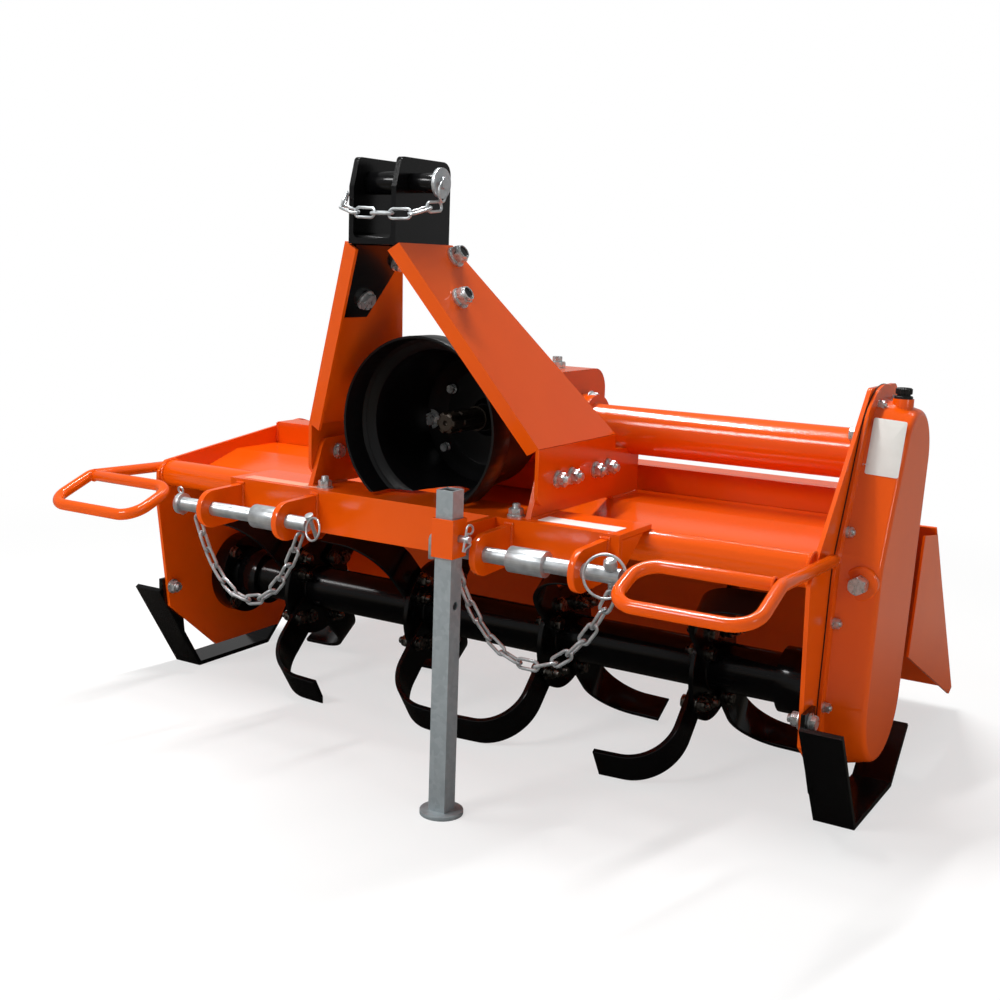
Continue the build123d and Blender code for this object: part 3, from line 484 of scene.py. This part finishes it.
def blade_path(steps=18):
    """Across and outward along a blade's middle: up its arm, a quarter circle and out along its side, with
    the share of the bend that lies behind each point."""
    bend = np.linspace(0, np.pi / 2, steps)
    start, foot = FLANGE_HALF + BLADE_T / 2, BLADE_MID_R - BLADE_BEND
    arm = [(start, TUBE_R + 6), (start, foot - 20)]
    curve = np.stack([start + BLADE_BEND * (1 - np.cos(bend)), foot + BLADE_BEND * np.sin(bend)], -1)
    side = [(start + BLADE_BEND + 14, BLADE_MID_R + 0.6), (start + BLADE_REACH, BLADE_MID_R + 1.5)]
    return np.concatenate([arm, curve, side]), np.concatenate([[0, 0], bend / (np.pi / 2), [1, 1]])


def blade(x, angle, side):
    """One blade: an eight-sided bar's outline carried along the path and turned about the path's own way,
    its width from 60 mm at the arm to 52 mm, and each end closed by a ring shrunk to its middle."""
    path, share = blade_path()
    ease = share ** 2 * (3 - 2 * share)
    ahead = np.gradient(path, axis=0)
    ahead /= np.linalg.norm(ahead, axis=1)[:, None]
    outer = np.stack([-ahead[:, 1], ahead[:, 0]], -1)
    half = ARM_HALF - SIDE_LESS * np.sin(share * np.pi / 2)
    thin = 1 + GROUND_WIDE * ease
    t = BLADE_T / 2
    one = np.ones_like(half)
    across = np.stack([-half, 1 - half, half - 1, half, half, half - thin, 1 - half, -half], -1)
    ground = (1 - t) * (1 - ease) + GROUND_TO * ease
    depth = np.stack([(t - 1) * one, t * one, t * one, (t - 1) * one, ground, -t * one, -t * one,
                      (1 - t) * one], -1)
    turn = BLADE_TURN * ease[:, None]
    lead = across * np.cos(turn) - depth * np.sin(turn)
    out = across * np.sin(turn) + depth * np.cos(turn)
    sideways = (path[:, None, 0] + out * outer[:, None, 0]) * side
    radial = path[:, None, 1] + out * outer[:, None, 1]
    arm = np.array([0, -math.sin(angle), math.cos(angle)])
    leading = np.array([0, -math.cos(angle), -math.sin(angle)])
    grid = sideways[..., None] * np.array([1, 0, 0]) + radial[..., None] * arm + lead[..., None] * leading
    ends = [np.repeat(grid[k].mean(0)[None, None], 8, 1) for k in (0, -1)]
    return np.concatenate([ends[0], grid, ends[1]]) + (x, ROTOR_Y, ROTOR_Z)


flange_rows = [(TUBE_R, -FLANGE_HALF), (FLANGE_R - 1, -FLANGE_HALF), (FLANGE_R, 1 - FLANGE_HALF),
               (FLANGE_R, FLANGE_HALF - 1), (FLANGE_R - 1, FLANGE_HALF), (TUBE_R, FLANGE_HALF),
               (TUBE_R, -FLANGE_HALF)]
flange = turned(flange_rows, 72)
for number, (x, first) in enumerate(zip(FLANGES, FIRST_SIDES), start=1):
    parts = [placed(flange, (x, ROTOR_Y, ROTOR_Z), (1, 0, 0))]
    parts += [blade(x, angle, first * (-1) ** i) for i, angle in enumerate(BLADE_ANGLES)]
    blade_set = assemble("blade_set_%d" % number, parts, black_enamel, "rotor")
    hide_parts("tine_set_%d" % number)

# ------------------------ blade bolts
# Two bolts hold each blade's arm to its flange, with the head against the blade and the nut beyond the
# flange. They were painted over, and show metal again in patches 6 mm across.
worn_bolt = plated_steel("blackened steel bolts", "#A7A5A0", "#3E3C39", 0.3, 160.0, 0.0, 1.0)
# each bolt's distance from the axle, and to one side of the arm's middle
BLADE_BOLTS = ((57, -12), (77, 12))
bolts = []
for x, first in zip(FLANGES, FIRST_SIDES):
    for i, angle in enumerate(BLADE_ANGLES):
        side = first * (-1) ** i
        arm = np.array([0, -math.sin(angle), math.cos(angle)])
        across = np.array([0, math.cos(angle), math.sin(angle)])
        for reach, offset in BLADE_BOLTS:
            at = np.array([x, ROTOR_Y, ROTOR_Z]) + arm * reach + across * offset
            head_at = at + (side * (FLANGE_HALF + BLADE_T), 0, 0)
            nut_at = at - (side * FLANGE_HALF, 0, 0)
            bolts.append(placed(hexagon(M12, 9, sides=24), head_at, (side, 0, 0)))
            bolts.append(placed(hexagon(M12, 14, 8, sides=24), nut_at, (-side, 0, 0)))
blade_bolts = assemble("blade_bolts", bolts, worn_bolt, "rotor")

# ------------------------ chain case trim
# The pressed case is bolted through its flange to the side plate on a thin black gasket. A hexagon plug
# in a welded boss in its front wall shows the oil level, and a ribbed plastic cap lets it breathe.
CASE_X, CASE_FLANGE_T, CASE_FLANGE_W, SIDE_PLATE_T = 595.0, 6.0, 34.0, 6.0
# the circles that the case's outline goes round: along, up and radius; and its bolts, along and up
CASE_CIRCLES = ((ROTOR_Y, ROTOR_Z, 93.0), (348.0, 345.0, 86.0), (410.0, 508.0, 72.0))
CASE_BOLTS = ((378, 586), (453, 588), (322, 504), (269, 417), (240, 292), (225, 174), (273, 71), (380, 57),
              (453, 137), (458, 250), (462, 370), (496, 464))
bolts = []
for y, z in CASE_BOLTS:
    bolts.append(placed(hexagon(M8, 9, 3), (CASE_X + CASE_FLANGE_T, y, z), (1, 0, 0)))
    bolts.append(placed(hexagon(M8, 8), (CASE_X - SIDE_PLATE_T, y, z), (-1, 0, 0)))
LEVEL_PLUG, LEVEL_PLUG_AT = (23.0, 29.0, 16.0), (630, 257, 350)
bolts.append(placed(hexagon(LEVEL_PLUG, 25, washer=4), LEVEL_PLUG_AT, (0, -1, 0)))
case_bolts = assemble("case_bolts", bolts, bolt_zinc)

boss = turned([(0, -8), (24, -8), (24, 3), (22.5, 4.5), (0, 4.5)], 48)
plug_boss = assemble("level_plug_boss", [placed(boss, LEVEL_PLUG_AT, (0, -1, 0))], orange_coat)


def around_case(grow, spacing):
    """Points (along, up) round the case's outline: in each direction the furthest of its three grown
    circles, then joined by straight runs and divided again at even spacing."""
    way = np.linspace(0, 2 * np.pi, 720, endpoint=False)
    out = np.stack([np.cos(way), np.sin(way)], -1)
    circles = np.array(CASE_CIRCLES)
    best = (out @ circles[:, :2].T + circles[:, 2]).argmax(1)
    edge = circles[best, :2] + out * (circles[best, 2] + grow)[:, None]
    edge = np.concatenate([edge, edge[:1]])
    length = np.concatenate([[0], np.cumsum(np.linalg.norm(np.diff(edge, axis=0), axis=1))])
    at = np.linspace(0, length[-1], round(length[-1] / spacing), endpoint=False)
    return np.stack([np.interp(at, length, edge[:, k]) for k in (0, 1)], -1)


# nitrile sheet cut to the flange: nearly black and matt
gasket_rubber = steel_paint("black gasket rubber", "#0B0A0A", "#141313", 0.6, 0.1, 0.3)
# the gasket's lip: distance off the side plate, and beyond the flange's edge
LIP_ROWS = ((0.1, -2.0), (0.1, 0.7), (1.5, 0.7), (1.5, -2.0))
rim = around_case(CASE_FLANGE_W, 9)
way = np.roll(rim, -1, 0) - np.roll(rim, 1, 0)
way /= np.linalg.norm(way, axis=1)[:, None]
out = np.stack([way[:, 1], -way[:, 0]], -1)
lip = [np.column_stack([np.full(len(rim), CASE_X + off), rim + out * grow]) for off, grow in LIP_ROWS]
assemble("case_gasket", [np.stack(lip)], gasket_rubber, closed_rows=True)

# polyamide moulded in a blasted tool: black, with a soft, slightly grainy sheen
moulded_plastic = steel_paint("black moulded polyamide", "#0B0B0B", "#101010", 0.5, 0.2, 0.4)
cap_low, cap_high = corners_of("case_breather")
cap_at = ((cap_low[0] + cap_high[0]) / 2, (cap_low[1] + cap_high[1]) / 2, cap_low[2])
CAP_R, CAP_RIBS, RIB_DEEP = (cap_high[0] - cap_low[0]) / 2, 18, 1.1
angle = np.linspace(0, 2 * np.pi, CAP_RIBS * 8, endpoint=False)
ribbed = CAP_R - 1.6 + RIB_DEEP * np.clip(np.cos(CAP_RIBS * angle) * 1.6, -1, 1) * 0.5
cap_rows = [(0, 0), (CAP_R, 0), (CAP_R, 3.2), (CAP_R - 1, 4), (CAP_R - 3.4, 4.2), (CAP_R - 3.4, 6),
            (ribbed, 7), (ribbed, 14.2), (CAP_R - 3.2, 15.6), (CAP_R - 6, 15.8), (CAP_R - 6.4, 14.6),
            (0, 14.6)]
cap_grid = placed(turned(cap_rows, len(angle)), cap_at, (0, 0, 1), (0, 1, 0))
breather_cap = assemble("breather_cap", [cap_grid], moulded_plastic)
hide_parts("case_breather")

# ------------------------ bearing and skid bolts
# Four bolts, blackened as the blades' are, hold each rotor bearing to its side plate. Two plated ones
# hold each skid by its tabs, with their nuts inside.
BEARING_FACE, SKID_FACE, PLATE_IN = 559.0, 601.6, CASE_X - SIDE_PLATE_T
BEARING_BOLT, SKID_BOLTS = (46, 47), ((165, 170), (487, 105))
skid_bolts, bearing_heads = [], []
for side in (-1, 1):
    for along, up in ((-1, 1), (-1, -1), (1, -1), (1, 1)):
        at = (side * BEARING_FACE, ROTOR_Y + along * BEARING_BOLT[0], ROTOR_Z + up * BEARING_BOLT[1])
        bearing_heads.append(placed(hexagon(M12, 10), at, (-side, 0, 0)))
    for y, z in SKID_BOLTS:
        skid_bolts.append(placed(hexagon(M12, 10), (side * SKID_FACE, y, z), (side, 0, 0)))
        skid_bolts.append(placed(hexagon(M12, 12, 6), (side * PLATE_IN, y, z), (-side, 0, 0)))
plate_bolts = assemble("side_plate_bolts", skid_bolts, bolt_zinc)
bearing_bolts = assemble("bearing_bolts", bearing_heads, worn_bolt)

# ------------------------ gearbox and guard trim
# The guard is bolted to the input bearing's housing. The cast gearbox has bolts round its side covers and
# where the drive tube meets the chain case, a vented filler plug on top and a level plug behind.
INPUT_Z = 523.0
DRIVE_Y, DRIVE_Z, CASE_END_R = CASE_CIRCLES[2]
M12_WIDE, FILLER, VENT = (19.0, 32.0, 12.0), (24.0, 28.0, 14.0), (14.0, 13.0, 9.0)
# the guard's bolts: across, along, up from the input shaft, and size
GUARD_BOLTS = ((69, 283, 40, M8), (74, 276, -56, M8), (99, 268, -11, M12_WIDE))
# bolts round the cross drive: across the machine, the way they face, height and places in degrees
COVER_BOLTS_R = 45.5
COVER_BOLTS = ((119, 1, 13, (30, 90, 150, 210, 330)), (-99, -1, 13, (30, 90, 150, 210, 330)),
               (575, -1, 12, (45, 135, 225, 315)))
bolts = [placed(hexagon(size, 10), (side * across, y, INPUT_Z + up), (0, -1, 0))
         for side in (-1, 1) for across, y, up, size in GUARD_BOLTS]
for x, side, height, places in COVER_BOLTS:
    for turn in np.radians(places):
        at = (x, DRIVE_Y + COVER_BOLTS_R * math.cos(turn), DRIVE_Z + COVER_BOLTS_R * math.sin(turn))
        bolts.append(placed(hexagon(M12, height), at, (side, 0, 0)))
gearbox_bolts = assemble("gearbox_bolts", bolts, bolt_zinc)

FILLER_X, FILLER_Y, BACK_PLUG_AT = 62, 395, (60, 489.5, 500)
top = corners_of("gearbox")[1][2]
plugs = [placed(hexagon(FILLER, 12), (FILLER_X, FILLER_Y, top - 0.5), (0, 0, 1), (0, 1, 0)),
         placed(hexagon(VENT, 9, washer=0.5), (FILLER_X, FILLER_Y, top + 11), (0, 0, 1), (0, 1, 0)),
         placed(hexagon(M10, 9), BACK_PLUG_AT, (0, 1, 0))]
filler_plug = assemble("filler_plug", plugs, bolt_zinc)

# ------------------------ chains
# Long-link chains of round wire, electrically welded and zinc plated, keep the loose lynch pins with
# the machine. Two hang below the lower hitch pins, and a finer one goes round the front of the mast.


def wire(path, normal, wire_r, sides=12, closed=False):
    """A round wire about a flat path: circles square to the path, spanned by the flat's normal and the
    cross of the path's direction with it. An open wire's ends are closed by a ring shrunk to a point."""
    path, normal = np.asarray(path, float), np.asarray(normal, float) / np.linalg.norm(normal)
    ahead = np.roll(path, -1, 0) - np.roll(path, 1, 0) if closed else np.gradient(path, axis=0)
    ahead /= np.linalg.norm(ahead, axis=1)[:, None]
    beside = np.cross(ahead, normal)
    angle = np.linspace(0, 2 * np.pi, sides, endpoint=False)
    circles = np.cos(angle)[None, :, None] * normal + np.sin(angle)[None, :, None] * beside[:, None, :]
    grid = path[:, None] + wire_r * circles
    if closed:
        return grid
    ends = [np.repeat(path[k][None, None], sides, 1) for k in (0, -1)]
    return np.concatenate([ends[0], grid, ends[1]])


def links(middles, ways, side, length, width, wire_d, top, tilt=math.radians(9), sides=10, steps=24):
    """Chain links at the middles: each is a stadium, two half circles joined by straight runs, along its
    own way. Every other link is turned a quarter about it, and all are tilted a little from upright, as a
    hung chain settles. They are raised to end at the height `top`."""
    angle = (np.arange(steps) + 0.5) * 2 * np.pi / steps
    bend_r = (width - wire_d) / 2
    straight = (length - wire_d) / 2 - bend_r
    along = bend_r * np.cos(angle) + straight * np.sign(np.cos(angle))
    across = bend_r * np.sin(angle)
    rings = []
    for i, (middle, way) in enumerate(zip(middles, ways)):
        way = np.asarray(way, float) / np.linalg.norm(way)
        first = np.cross(side, way)
        first /= np.linalg.norm(first)
        other = np.cross(way, first)
        flat, square = (other, first) if i % 2 else (first, other)
        flat, square = (flat * math.cos(tilt) + square * math.sin(tilt),
                        square * math.cos(tilt) - flat * math.sin(tilt))
        path = middle + along[:, None] * way + across[:, None] * flat
        rings.append(wire(path, square, wire_d / 2, sides, closed=True))
    return np.array(rings) + (0, 0, top - np.max(np.array(rings)[..., 2]))


def hanging(count, pitch, low_x, sag, y):
    """Middles and ways of the links of a hanging chain: a catenary, whose height is the square root of
    sag squared plus arc length squared."""
    arc = (np.arange(count) - (count - 1) / 2) * pitch
    middles = np.stack([low_x + sag * np.arcsinh(arc / sag), np.full(count, y), np.hypot(sag, arc)], -1)
    ways = np.stack([np.full(count, sag), np.zeros(count), arc], -1)
    return middles, ways


# name: side of the machine, number of links, catenary's parameter
HITCH_CHAINS = (("chain_left", -1, 12, 60.3), ("chain_right", 1, 13, 76.6))
LINK_LENGTH, LINK_WIDTH, LINK_WIRE, LINK_BITE = 38.5, 19.0, 5.0, 0.4
CHAIN_LOW_X, HITCH_Y, HITCH_Z = 255.0, -5.0, 371.0
link_pitch = LINK_LENGTH - 2 * LINK_WIRE - LINK_BITE
for name, side, count, sag in HITCH_CHAINS:
    middles, ways = hanging(count, link_pitch, side * CHAIN_LOW_X, sag, HITCH_Y)
    rings = links(middles, ways, (0, 1, 0), LINK_LENGTH, LINK_WIDTH, LINK_WIRE, corners_of(name)[1][2])
    hitch_chain = assemble(name + "_links", rings, bright_zinc, closed_rows=True)
    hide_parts(name)

# The mast's chain: from the top pin's left end round the front of the bracket to its right-hand head.
# Seen from above it is a rounded rectangle, a circle whose cosine and sine are raised to a power.
TOP_LINKS, TOP_WIDTH, TOP_WIRE, TOP_Y, SQUARENESS = 8, 17.0, 4.0, 2.0, 0.45
MAST_MID, MAST_REACH, MAST_FRONT, TOP_SAG, HEAD_DROP = 18.0, 68.0, 57.0, 20.0, 17.5
share = np.linspace(0, 1, 401)
turn = np.pi * (1 - share)
drape = np.stack([MAST_MID + MAST_REACH * np.sign(np.cos(turn)) * np.abs(np.cos(turn)) ** SQUARENESS,
                  TOP_Y - MAST_FRONT * np.sin(turn) ** SQUARENESS,
                  -HEAD_DROP * share - TOP_SAG * np.sin(turn)], -1)
run = np.concatenate([[0], np.cumsum(np.linalg.norm(np.diff(drape, axis=0), axis=1))])
at = (np.arange(TOP_LINKS) + 0.5) * run[-1] / TOP_LINKS
middles = np.stack([np.interp(at, run, drape[:, k]) for k in range(3)], -1)
ways = np.stack([np.interp(at, run, np.gradient(drape[:, k], run)) for k in range(3)], -1)
top_length = run[-1] / TOP_LINKS + 2 * TOP_WIRE + LINK_BITE
rings = links(middles, ways, (0, 0, 1), top_length, TOP_WIDTH, TOP_WIRE, corners_of("chain_top")[1][2])
top_chain = assemble("chain_top_links", rings, bright_zinc, closed_rows=True)
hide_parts("chain_top")

# ------------------------ lynch pins and spring clips
# A plated lynch pin drops through each lower hitch pin, and its sprung ring snaps over the pin's end. A
# ring hangs in the top pin's head, and clips of bent wire hold the stand's pin and the hitch pins' ends.


def ring(middle, normal, radius, wire_r, steps=48, sides=12):
    """A closed wire circle of the radius about the middle, square to the normal."""
    angle = np.linspace(0, 2 * np.pi, steps, endpoint=False)
    across, upwards, along = facing(normal, (0.1, 0.2, 1))
    spokes = np.cos(angle)[:, None] * across + np.sin(angle)[:, None] * upwards
    return wire(np.asarray(middle, float) + radius * spokes, along, wire_r, sides, closed=True)


def spring_clip(at, along, upwards, length, eye_r, hump, wire_r=1.6, steps=20):
    """A clip of wire laid out from `at`, its legs against the way `along`: a straight leg, three quarters
    of a round eye, and a leg that swells over the pin by a bell curve of the height `hump`."""
    leg = np.linspace(-length, 0, steps)
    eye = np.radians(np.linspace(-90, 200, steps))
    back = np.linspace(-eye_r * 0.7, -length, steps)
    swell = 2.6 + hump * np.exp(-((back + length * 0.62) / (length * 0.17)) ** 2)
    flat = np.concatenate([np.stack([leg, np.zeros(steps)], -1),
                           np.stack([eye_r * np.cos(eye) + 0.5, eye_r + eye_r * np.sin(eye)], -1)[1:],
                           np.stack([back, swell], -1)[1:]])
    along, upwards = np.asarray(along, float), np.asarray(upwards, float)
    path = np.asarray(at, float) + flat[:, :1] * along + flat[:, 1:] * upwards
    return wire(path, np.cross(along, upwards), wire_r)


top_low, top_high = corners_of("top_pin")
RIGHT_PEG_X, LEFT_PEG_X, TOP_RING_R = 374.0, -126.0, 13.0
# middle, facing way, radius and wire's radius of each ring
LYNCH_RINGS = (((RIGHT_PEG_X, HITCH_Y - 17, HITCH_Z + 2), (0.2, -1, 0.1), 29, 2.0),
               ((LEFT_PEG_X + 14, HITCH_Y - 16, HITCH_Z - 2), (-0.3, -1, 0.2), 17, 1.7),
               ((top_high[0] - 3, TOP_Y - 3, (top_low[2] + top_high[2]) / 2 - TOP_RING_R + 1), (1, 0.25, 0),
                TOP_RING_R, 1.8))
rings = [ring(*sizes) for sizes in LYNCH_RINGS]
lynch_rings = assemble("lynch_rings", rings, bright_zinc, closed_rows=True)
peg = turned([(0, -31), (4, -29), (4, 10), (8.5, 11), (9.5, 17), (8.5, 23), (5, 26), (0, 26.5)], 28)
small_peg = turned([(0, -24), (3.4, -22), (3.4, 10.5), (6.5, 11), (6.5, 19), (0, 20)], 28)
pegs = [placed(peg, (RIGHT_PEG_X, HITCH_Y, HITCH_Z), (0.1, -0.35, 1), (0, 1, 0)),
        placed(small_peg, (LEFT_PEG_X, HITCH_Y, HITCH_Z), (0, -0.5, 1), (0, 1, 0))]
lynch_pins = assemble("lynch_pins", pegs, bright_zinc)
# place, way of the legs, way of the hump, legs' length, eye's radius and hump of each clip
CLIPS = (((178, -51, 413), (0, 0.25, 1), (0.2, 1, -0.25), 30, 6, 9),
         ((-392, -5, 391), (0.2, -0.2, 0.96), (-1, 0, 0.2), 42, 5, 8),
         ((-46, 2, 890), (0, -0.35, 0.94), (0, 0.94, 0.35), 38, 5, 8))
spring_clips = assemble("spring_clips", [spring_clip(*sizes) for sizes in CLIPS], bright_zinc)

# ------------------------ stand trim
# A black plug, moulded in polyamide and pressed into the leg, closes the tube's open top. It rides up and
# down with the leg.
STAND_X, STAND_Y, STAND_HALF, STAND_WALL = 150.0, -51.0, 13.5, 2.7


def rounded_plate(half_x, half_y, corner, rows, steps=32):
    """A plate with rounded corners: for each row of inset and height, a rectangle's outline whose corners
    are quarter circles, found by adding a small circle to the sign of its own cosine and sine. A row with
    no inset is a point in the middle, and closes the plate."""
    angle = (np.arange(steps) + 0.5) * 2 * np.pi / steps
    inset, height = np.array(rows, float).T[:, :, None]
    x = (half_x - corner) * np.sign(np.cos(angle)) + (corner - inset) * np.cos(angle)
    y = (half_y - corner) * np.sign(np.sin(angle)) + (corner - inset) * np.sin(angle)
    return np.nan_to_num(np.stack([x, y, height + 0 * angle], -1))


PLUG_ROWS = ((None, -14), (0, -14), (0, -3.2), (1, -2.2), (None, -2))
plug = rounded_plate(STAND_HALF - STAND_WALL, STAND_HALF - STAND_WALL, 3, PLUG_ROWS)
plug_at = (STAND_X, STAND_Y, corners_of("stand_leg")[1][2])
leg_plug = assemble("stand_plug", [plug + plug_at], moulded_plastic, "stand")

# ------------------------ weld beads
# Hand-laid fillets of weld metal join the ears, uprights, hood and tubes to each other, and the flanges to
# the rotor. They show as ripples 4 mm apart under the same coat as the parts they join.
RIPPLE = 4


def bead(path, normal, size, closed=False):
    """A weld along a path with points a millimetre apart: its radius rises and falls by the size of the
    sine of its length over the ripples' pitch."""
    run = np.arange(len(path)) * 1.0
    swell = size * (0.84 + 0.2 * np.abs(np.sin(np.pi * run / RIPPLE)))
    return wire(path, normal, swell[:, None, None], 8, closed)


def line(start, end):
    """Points a millimetre apart from one end to the other."""
    start, end = np.asarray(start, float), np.asarray(end, float)
    return start + np.linspace(0, 1, max(int(np.linalg.norm(end - start)), 2))[:, None] * (end - start)


def round_bead(x, y, z, radius, size):
    """A weld round a circle square to the machine's width, about (y, z), in whole ripples."""
    angle = np.linspace(0, 2 * np.pi, int(2 * np.pi * radius / RIPPLE) * RIPPLE, endpoint=False)
    path = np.stack([0 * angle + x, y + radius * np.cos(angle), z + radius * np.sin(angle)], -1)
    return bead(path, (1, 0, 0), size, closed=True)


BEAM_FRONT, EARS_X, EAR_HALF, HOOD_X = 62.0, (177.0, 330.0), 5.0, 588.0
# the right-hand side's straight fillets: start, end, facing way and size
fillets = []
for ear in EARS_X:
    for x in (ear - EAR_HALF - 0.5, ear + EAR_HALF + 0.5):
        fillets.append(((x, BEAM_FRONT - 0.5, 347), (x, BEAM_FRONT - 0.5, 402), (1, 0, 0), 2.6))
    fillets.append(((ear - 8, BEAM_FRONT, 404), (ear + 8, BEAM_FRONT, 404), (0, 0, 1), 2.8))
for x in (FOOT_X - UPRIGHT_T - 0.5, FOOT_X + 0.5):
    fillets.append(((x, 337, 406.5), (x, 426, 406.5), (0, 0, 1), 2.6))
    fillets.append(((x, 80, 411.5), (x, 163, 411.5), (0, 0, 1), 2.4))
fillets.append(((596.5, 136, 390), (596.5, 203, 385), (1, 0, 0), 2.8))
fillets += [((HOOD_X, y, 409), (HOOD_X, y, 445), (1, 0, 0), 2.6) for y in (449, 509)]
straight_welds = [bead(line(turned_over(start, side), turned_over(end, side)), turned_over(way, side), size)
                  for side in (-1, 1) for start, end, way, size in fillets]
# round welds: across, along, up, radius and size; on the front tube, the loops and the drive tube
round_sizes = [(side * x, y, z, radius, size) for side in (-1, 1)
               for x, y, z, radius, size in ((588.5, 165, 379, 24.6, 2.8), (595.6, -5, 394, 8.9, 2.2))]
round_sizes += [(x, DRIVE_Y, DRIVE_Z, 38.5, 2.8) for x in (133.5, 574.5)]
round_welds = [round_bead(*sizes) for sizes in round_sizes]
rotor_welds = [round_bead(x + side * (FLANGE_HALF + 0.4), ROTOR_Y, ROTOR_Z, TUBE_R + 0.4, 2.8)
               for x in FLANGES for side in (-1, 1)]
steel_welds = assemble("weld_beads", straight_welds, orange_coat)
ring_welds = assemble("weld_rings", round_welds, orange_coat, closed_rows=True)
flange_welds = assemble("flange_welds", rotor_welds, black_enamel, "rotor", closed_rows=True)

# ------------------------ beam gussets
# A triangle of steel plate, welded in and coated with the beam, closes each end of the angle between its
# top flange and its web.
GUSSET_CORNERS, GUSSET_X, GUSSET_T = np.array([(72.0, 402.5), (139.0, 402.5), (72.0, 351.0)]), 351.6, 6.0


def gusset(side, inset=0.7):
    """A bevelled triangle square to the machine's width: rings of its three corners drawn towards their
    mean by the inset, at the two faces and just inside them."""
    depth, shrink = np.array([(0, 1), (0, 0.03), (inset, 0), (GUSSET_T - inset, 0), (GUSSET_T, 0.03),
                              (GUSSET_T, 1)]).T[:, :, None]
    along, up = GUSSET_CORNERS.T
    x = side * GUSSET_X - side * depth + 0 * along
    return np.stack([x, along + (along.mean() - along) * shrink, up + (up.mean() - up) * shrink], -1)


gussets = assemble("beam_gussets", [gusset(side) for side in (-1, 1)], orange_coat)

# ------------------------ blank labels
# Self-adhesive labels, left blank: white vinyl with rounded corners on the beam's top and on the chain
# case's front wall, yellowed a little in patches 17 mm across, and on the beam's left clear film, through
# which the orange shows pale.
white_vinyl, tree, place = new_finish("white vinyl label")
haze = add_node(tree, "TexNoise", {"Vector": place, "Scale": 60.0, "Detail": 2.0})
tone = add_node(tree, "MixRGB", {"Fac": haze, "Color1": srgb("#E9E7E2"), "Color2": srgb("#DEDBD5")})
vinyl = add_node(tree, "BsdfPrincipled", {"Base Color": tone, "Roughness": 0.38})
add_node(tree, "OutputMaterial", {"Surface": vinyl})
clear_film = steel_paint("clear film label over orange", "#EDA486", "#E99B7C", 0.25, 0.05, 0.4)

LABEL_ROWS, BEAM_TOP = ((None, 0), (0, 0), (0, 0.45), (0.6, 0.6), (None, 0.6)), 411.1
film_grid = placed(rounded_plate(82, 12, 2, LABEL_ROWS), (-250, 84, BEAM_TOP), (0, 0, 1), (0, 1, 0))
assemble("blank_film_label", [film_grid], clear_film)

# the case's front wall: the way it faces and the way down it, and how far its pressing draws in
WALL_OUT, WALL_DOWN = np.array([0.0, -0.903, 0.4294]), np.array([0, -0.4294, -0.903])
CASE_DEEP, DRAWN_IN = 54.0, 14.0
draft = math.atan2(DRAWN_IN, CASE_DEEP)
wall_way = WALL_OUT * math.cos(draft) + np.array([math.sin(draft), 0, 0])
wall_at = np.array([CASE_X + CASE_FLANGE_T + CASE_DEEP / 2, DRIVE_Y, DRIVE_Z])
wall_at += WALL_OUT * (CASE_END_R + DRAWN_IN / 2 + 0.2)
wall_at += WALL_DOWN * 12
labels = [placed(rounded_plate(62, 17, 2, LABEL_ROWS), (276, 96, BEAM_TOP), (0, 0, 1), (0, 1, 0)),
          placed(rounded_plate(23, 42, 3, LABEL_ROWS), wall_at, wall_way, (0, 0.35, 1))]
assemble("blank_labels", labels, white_vinyl)
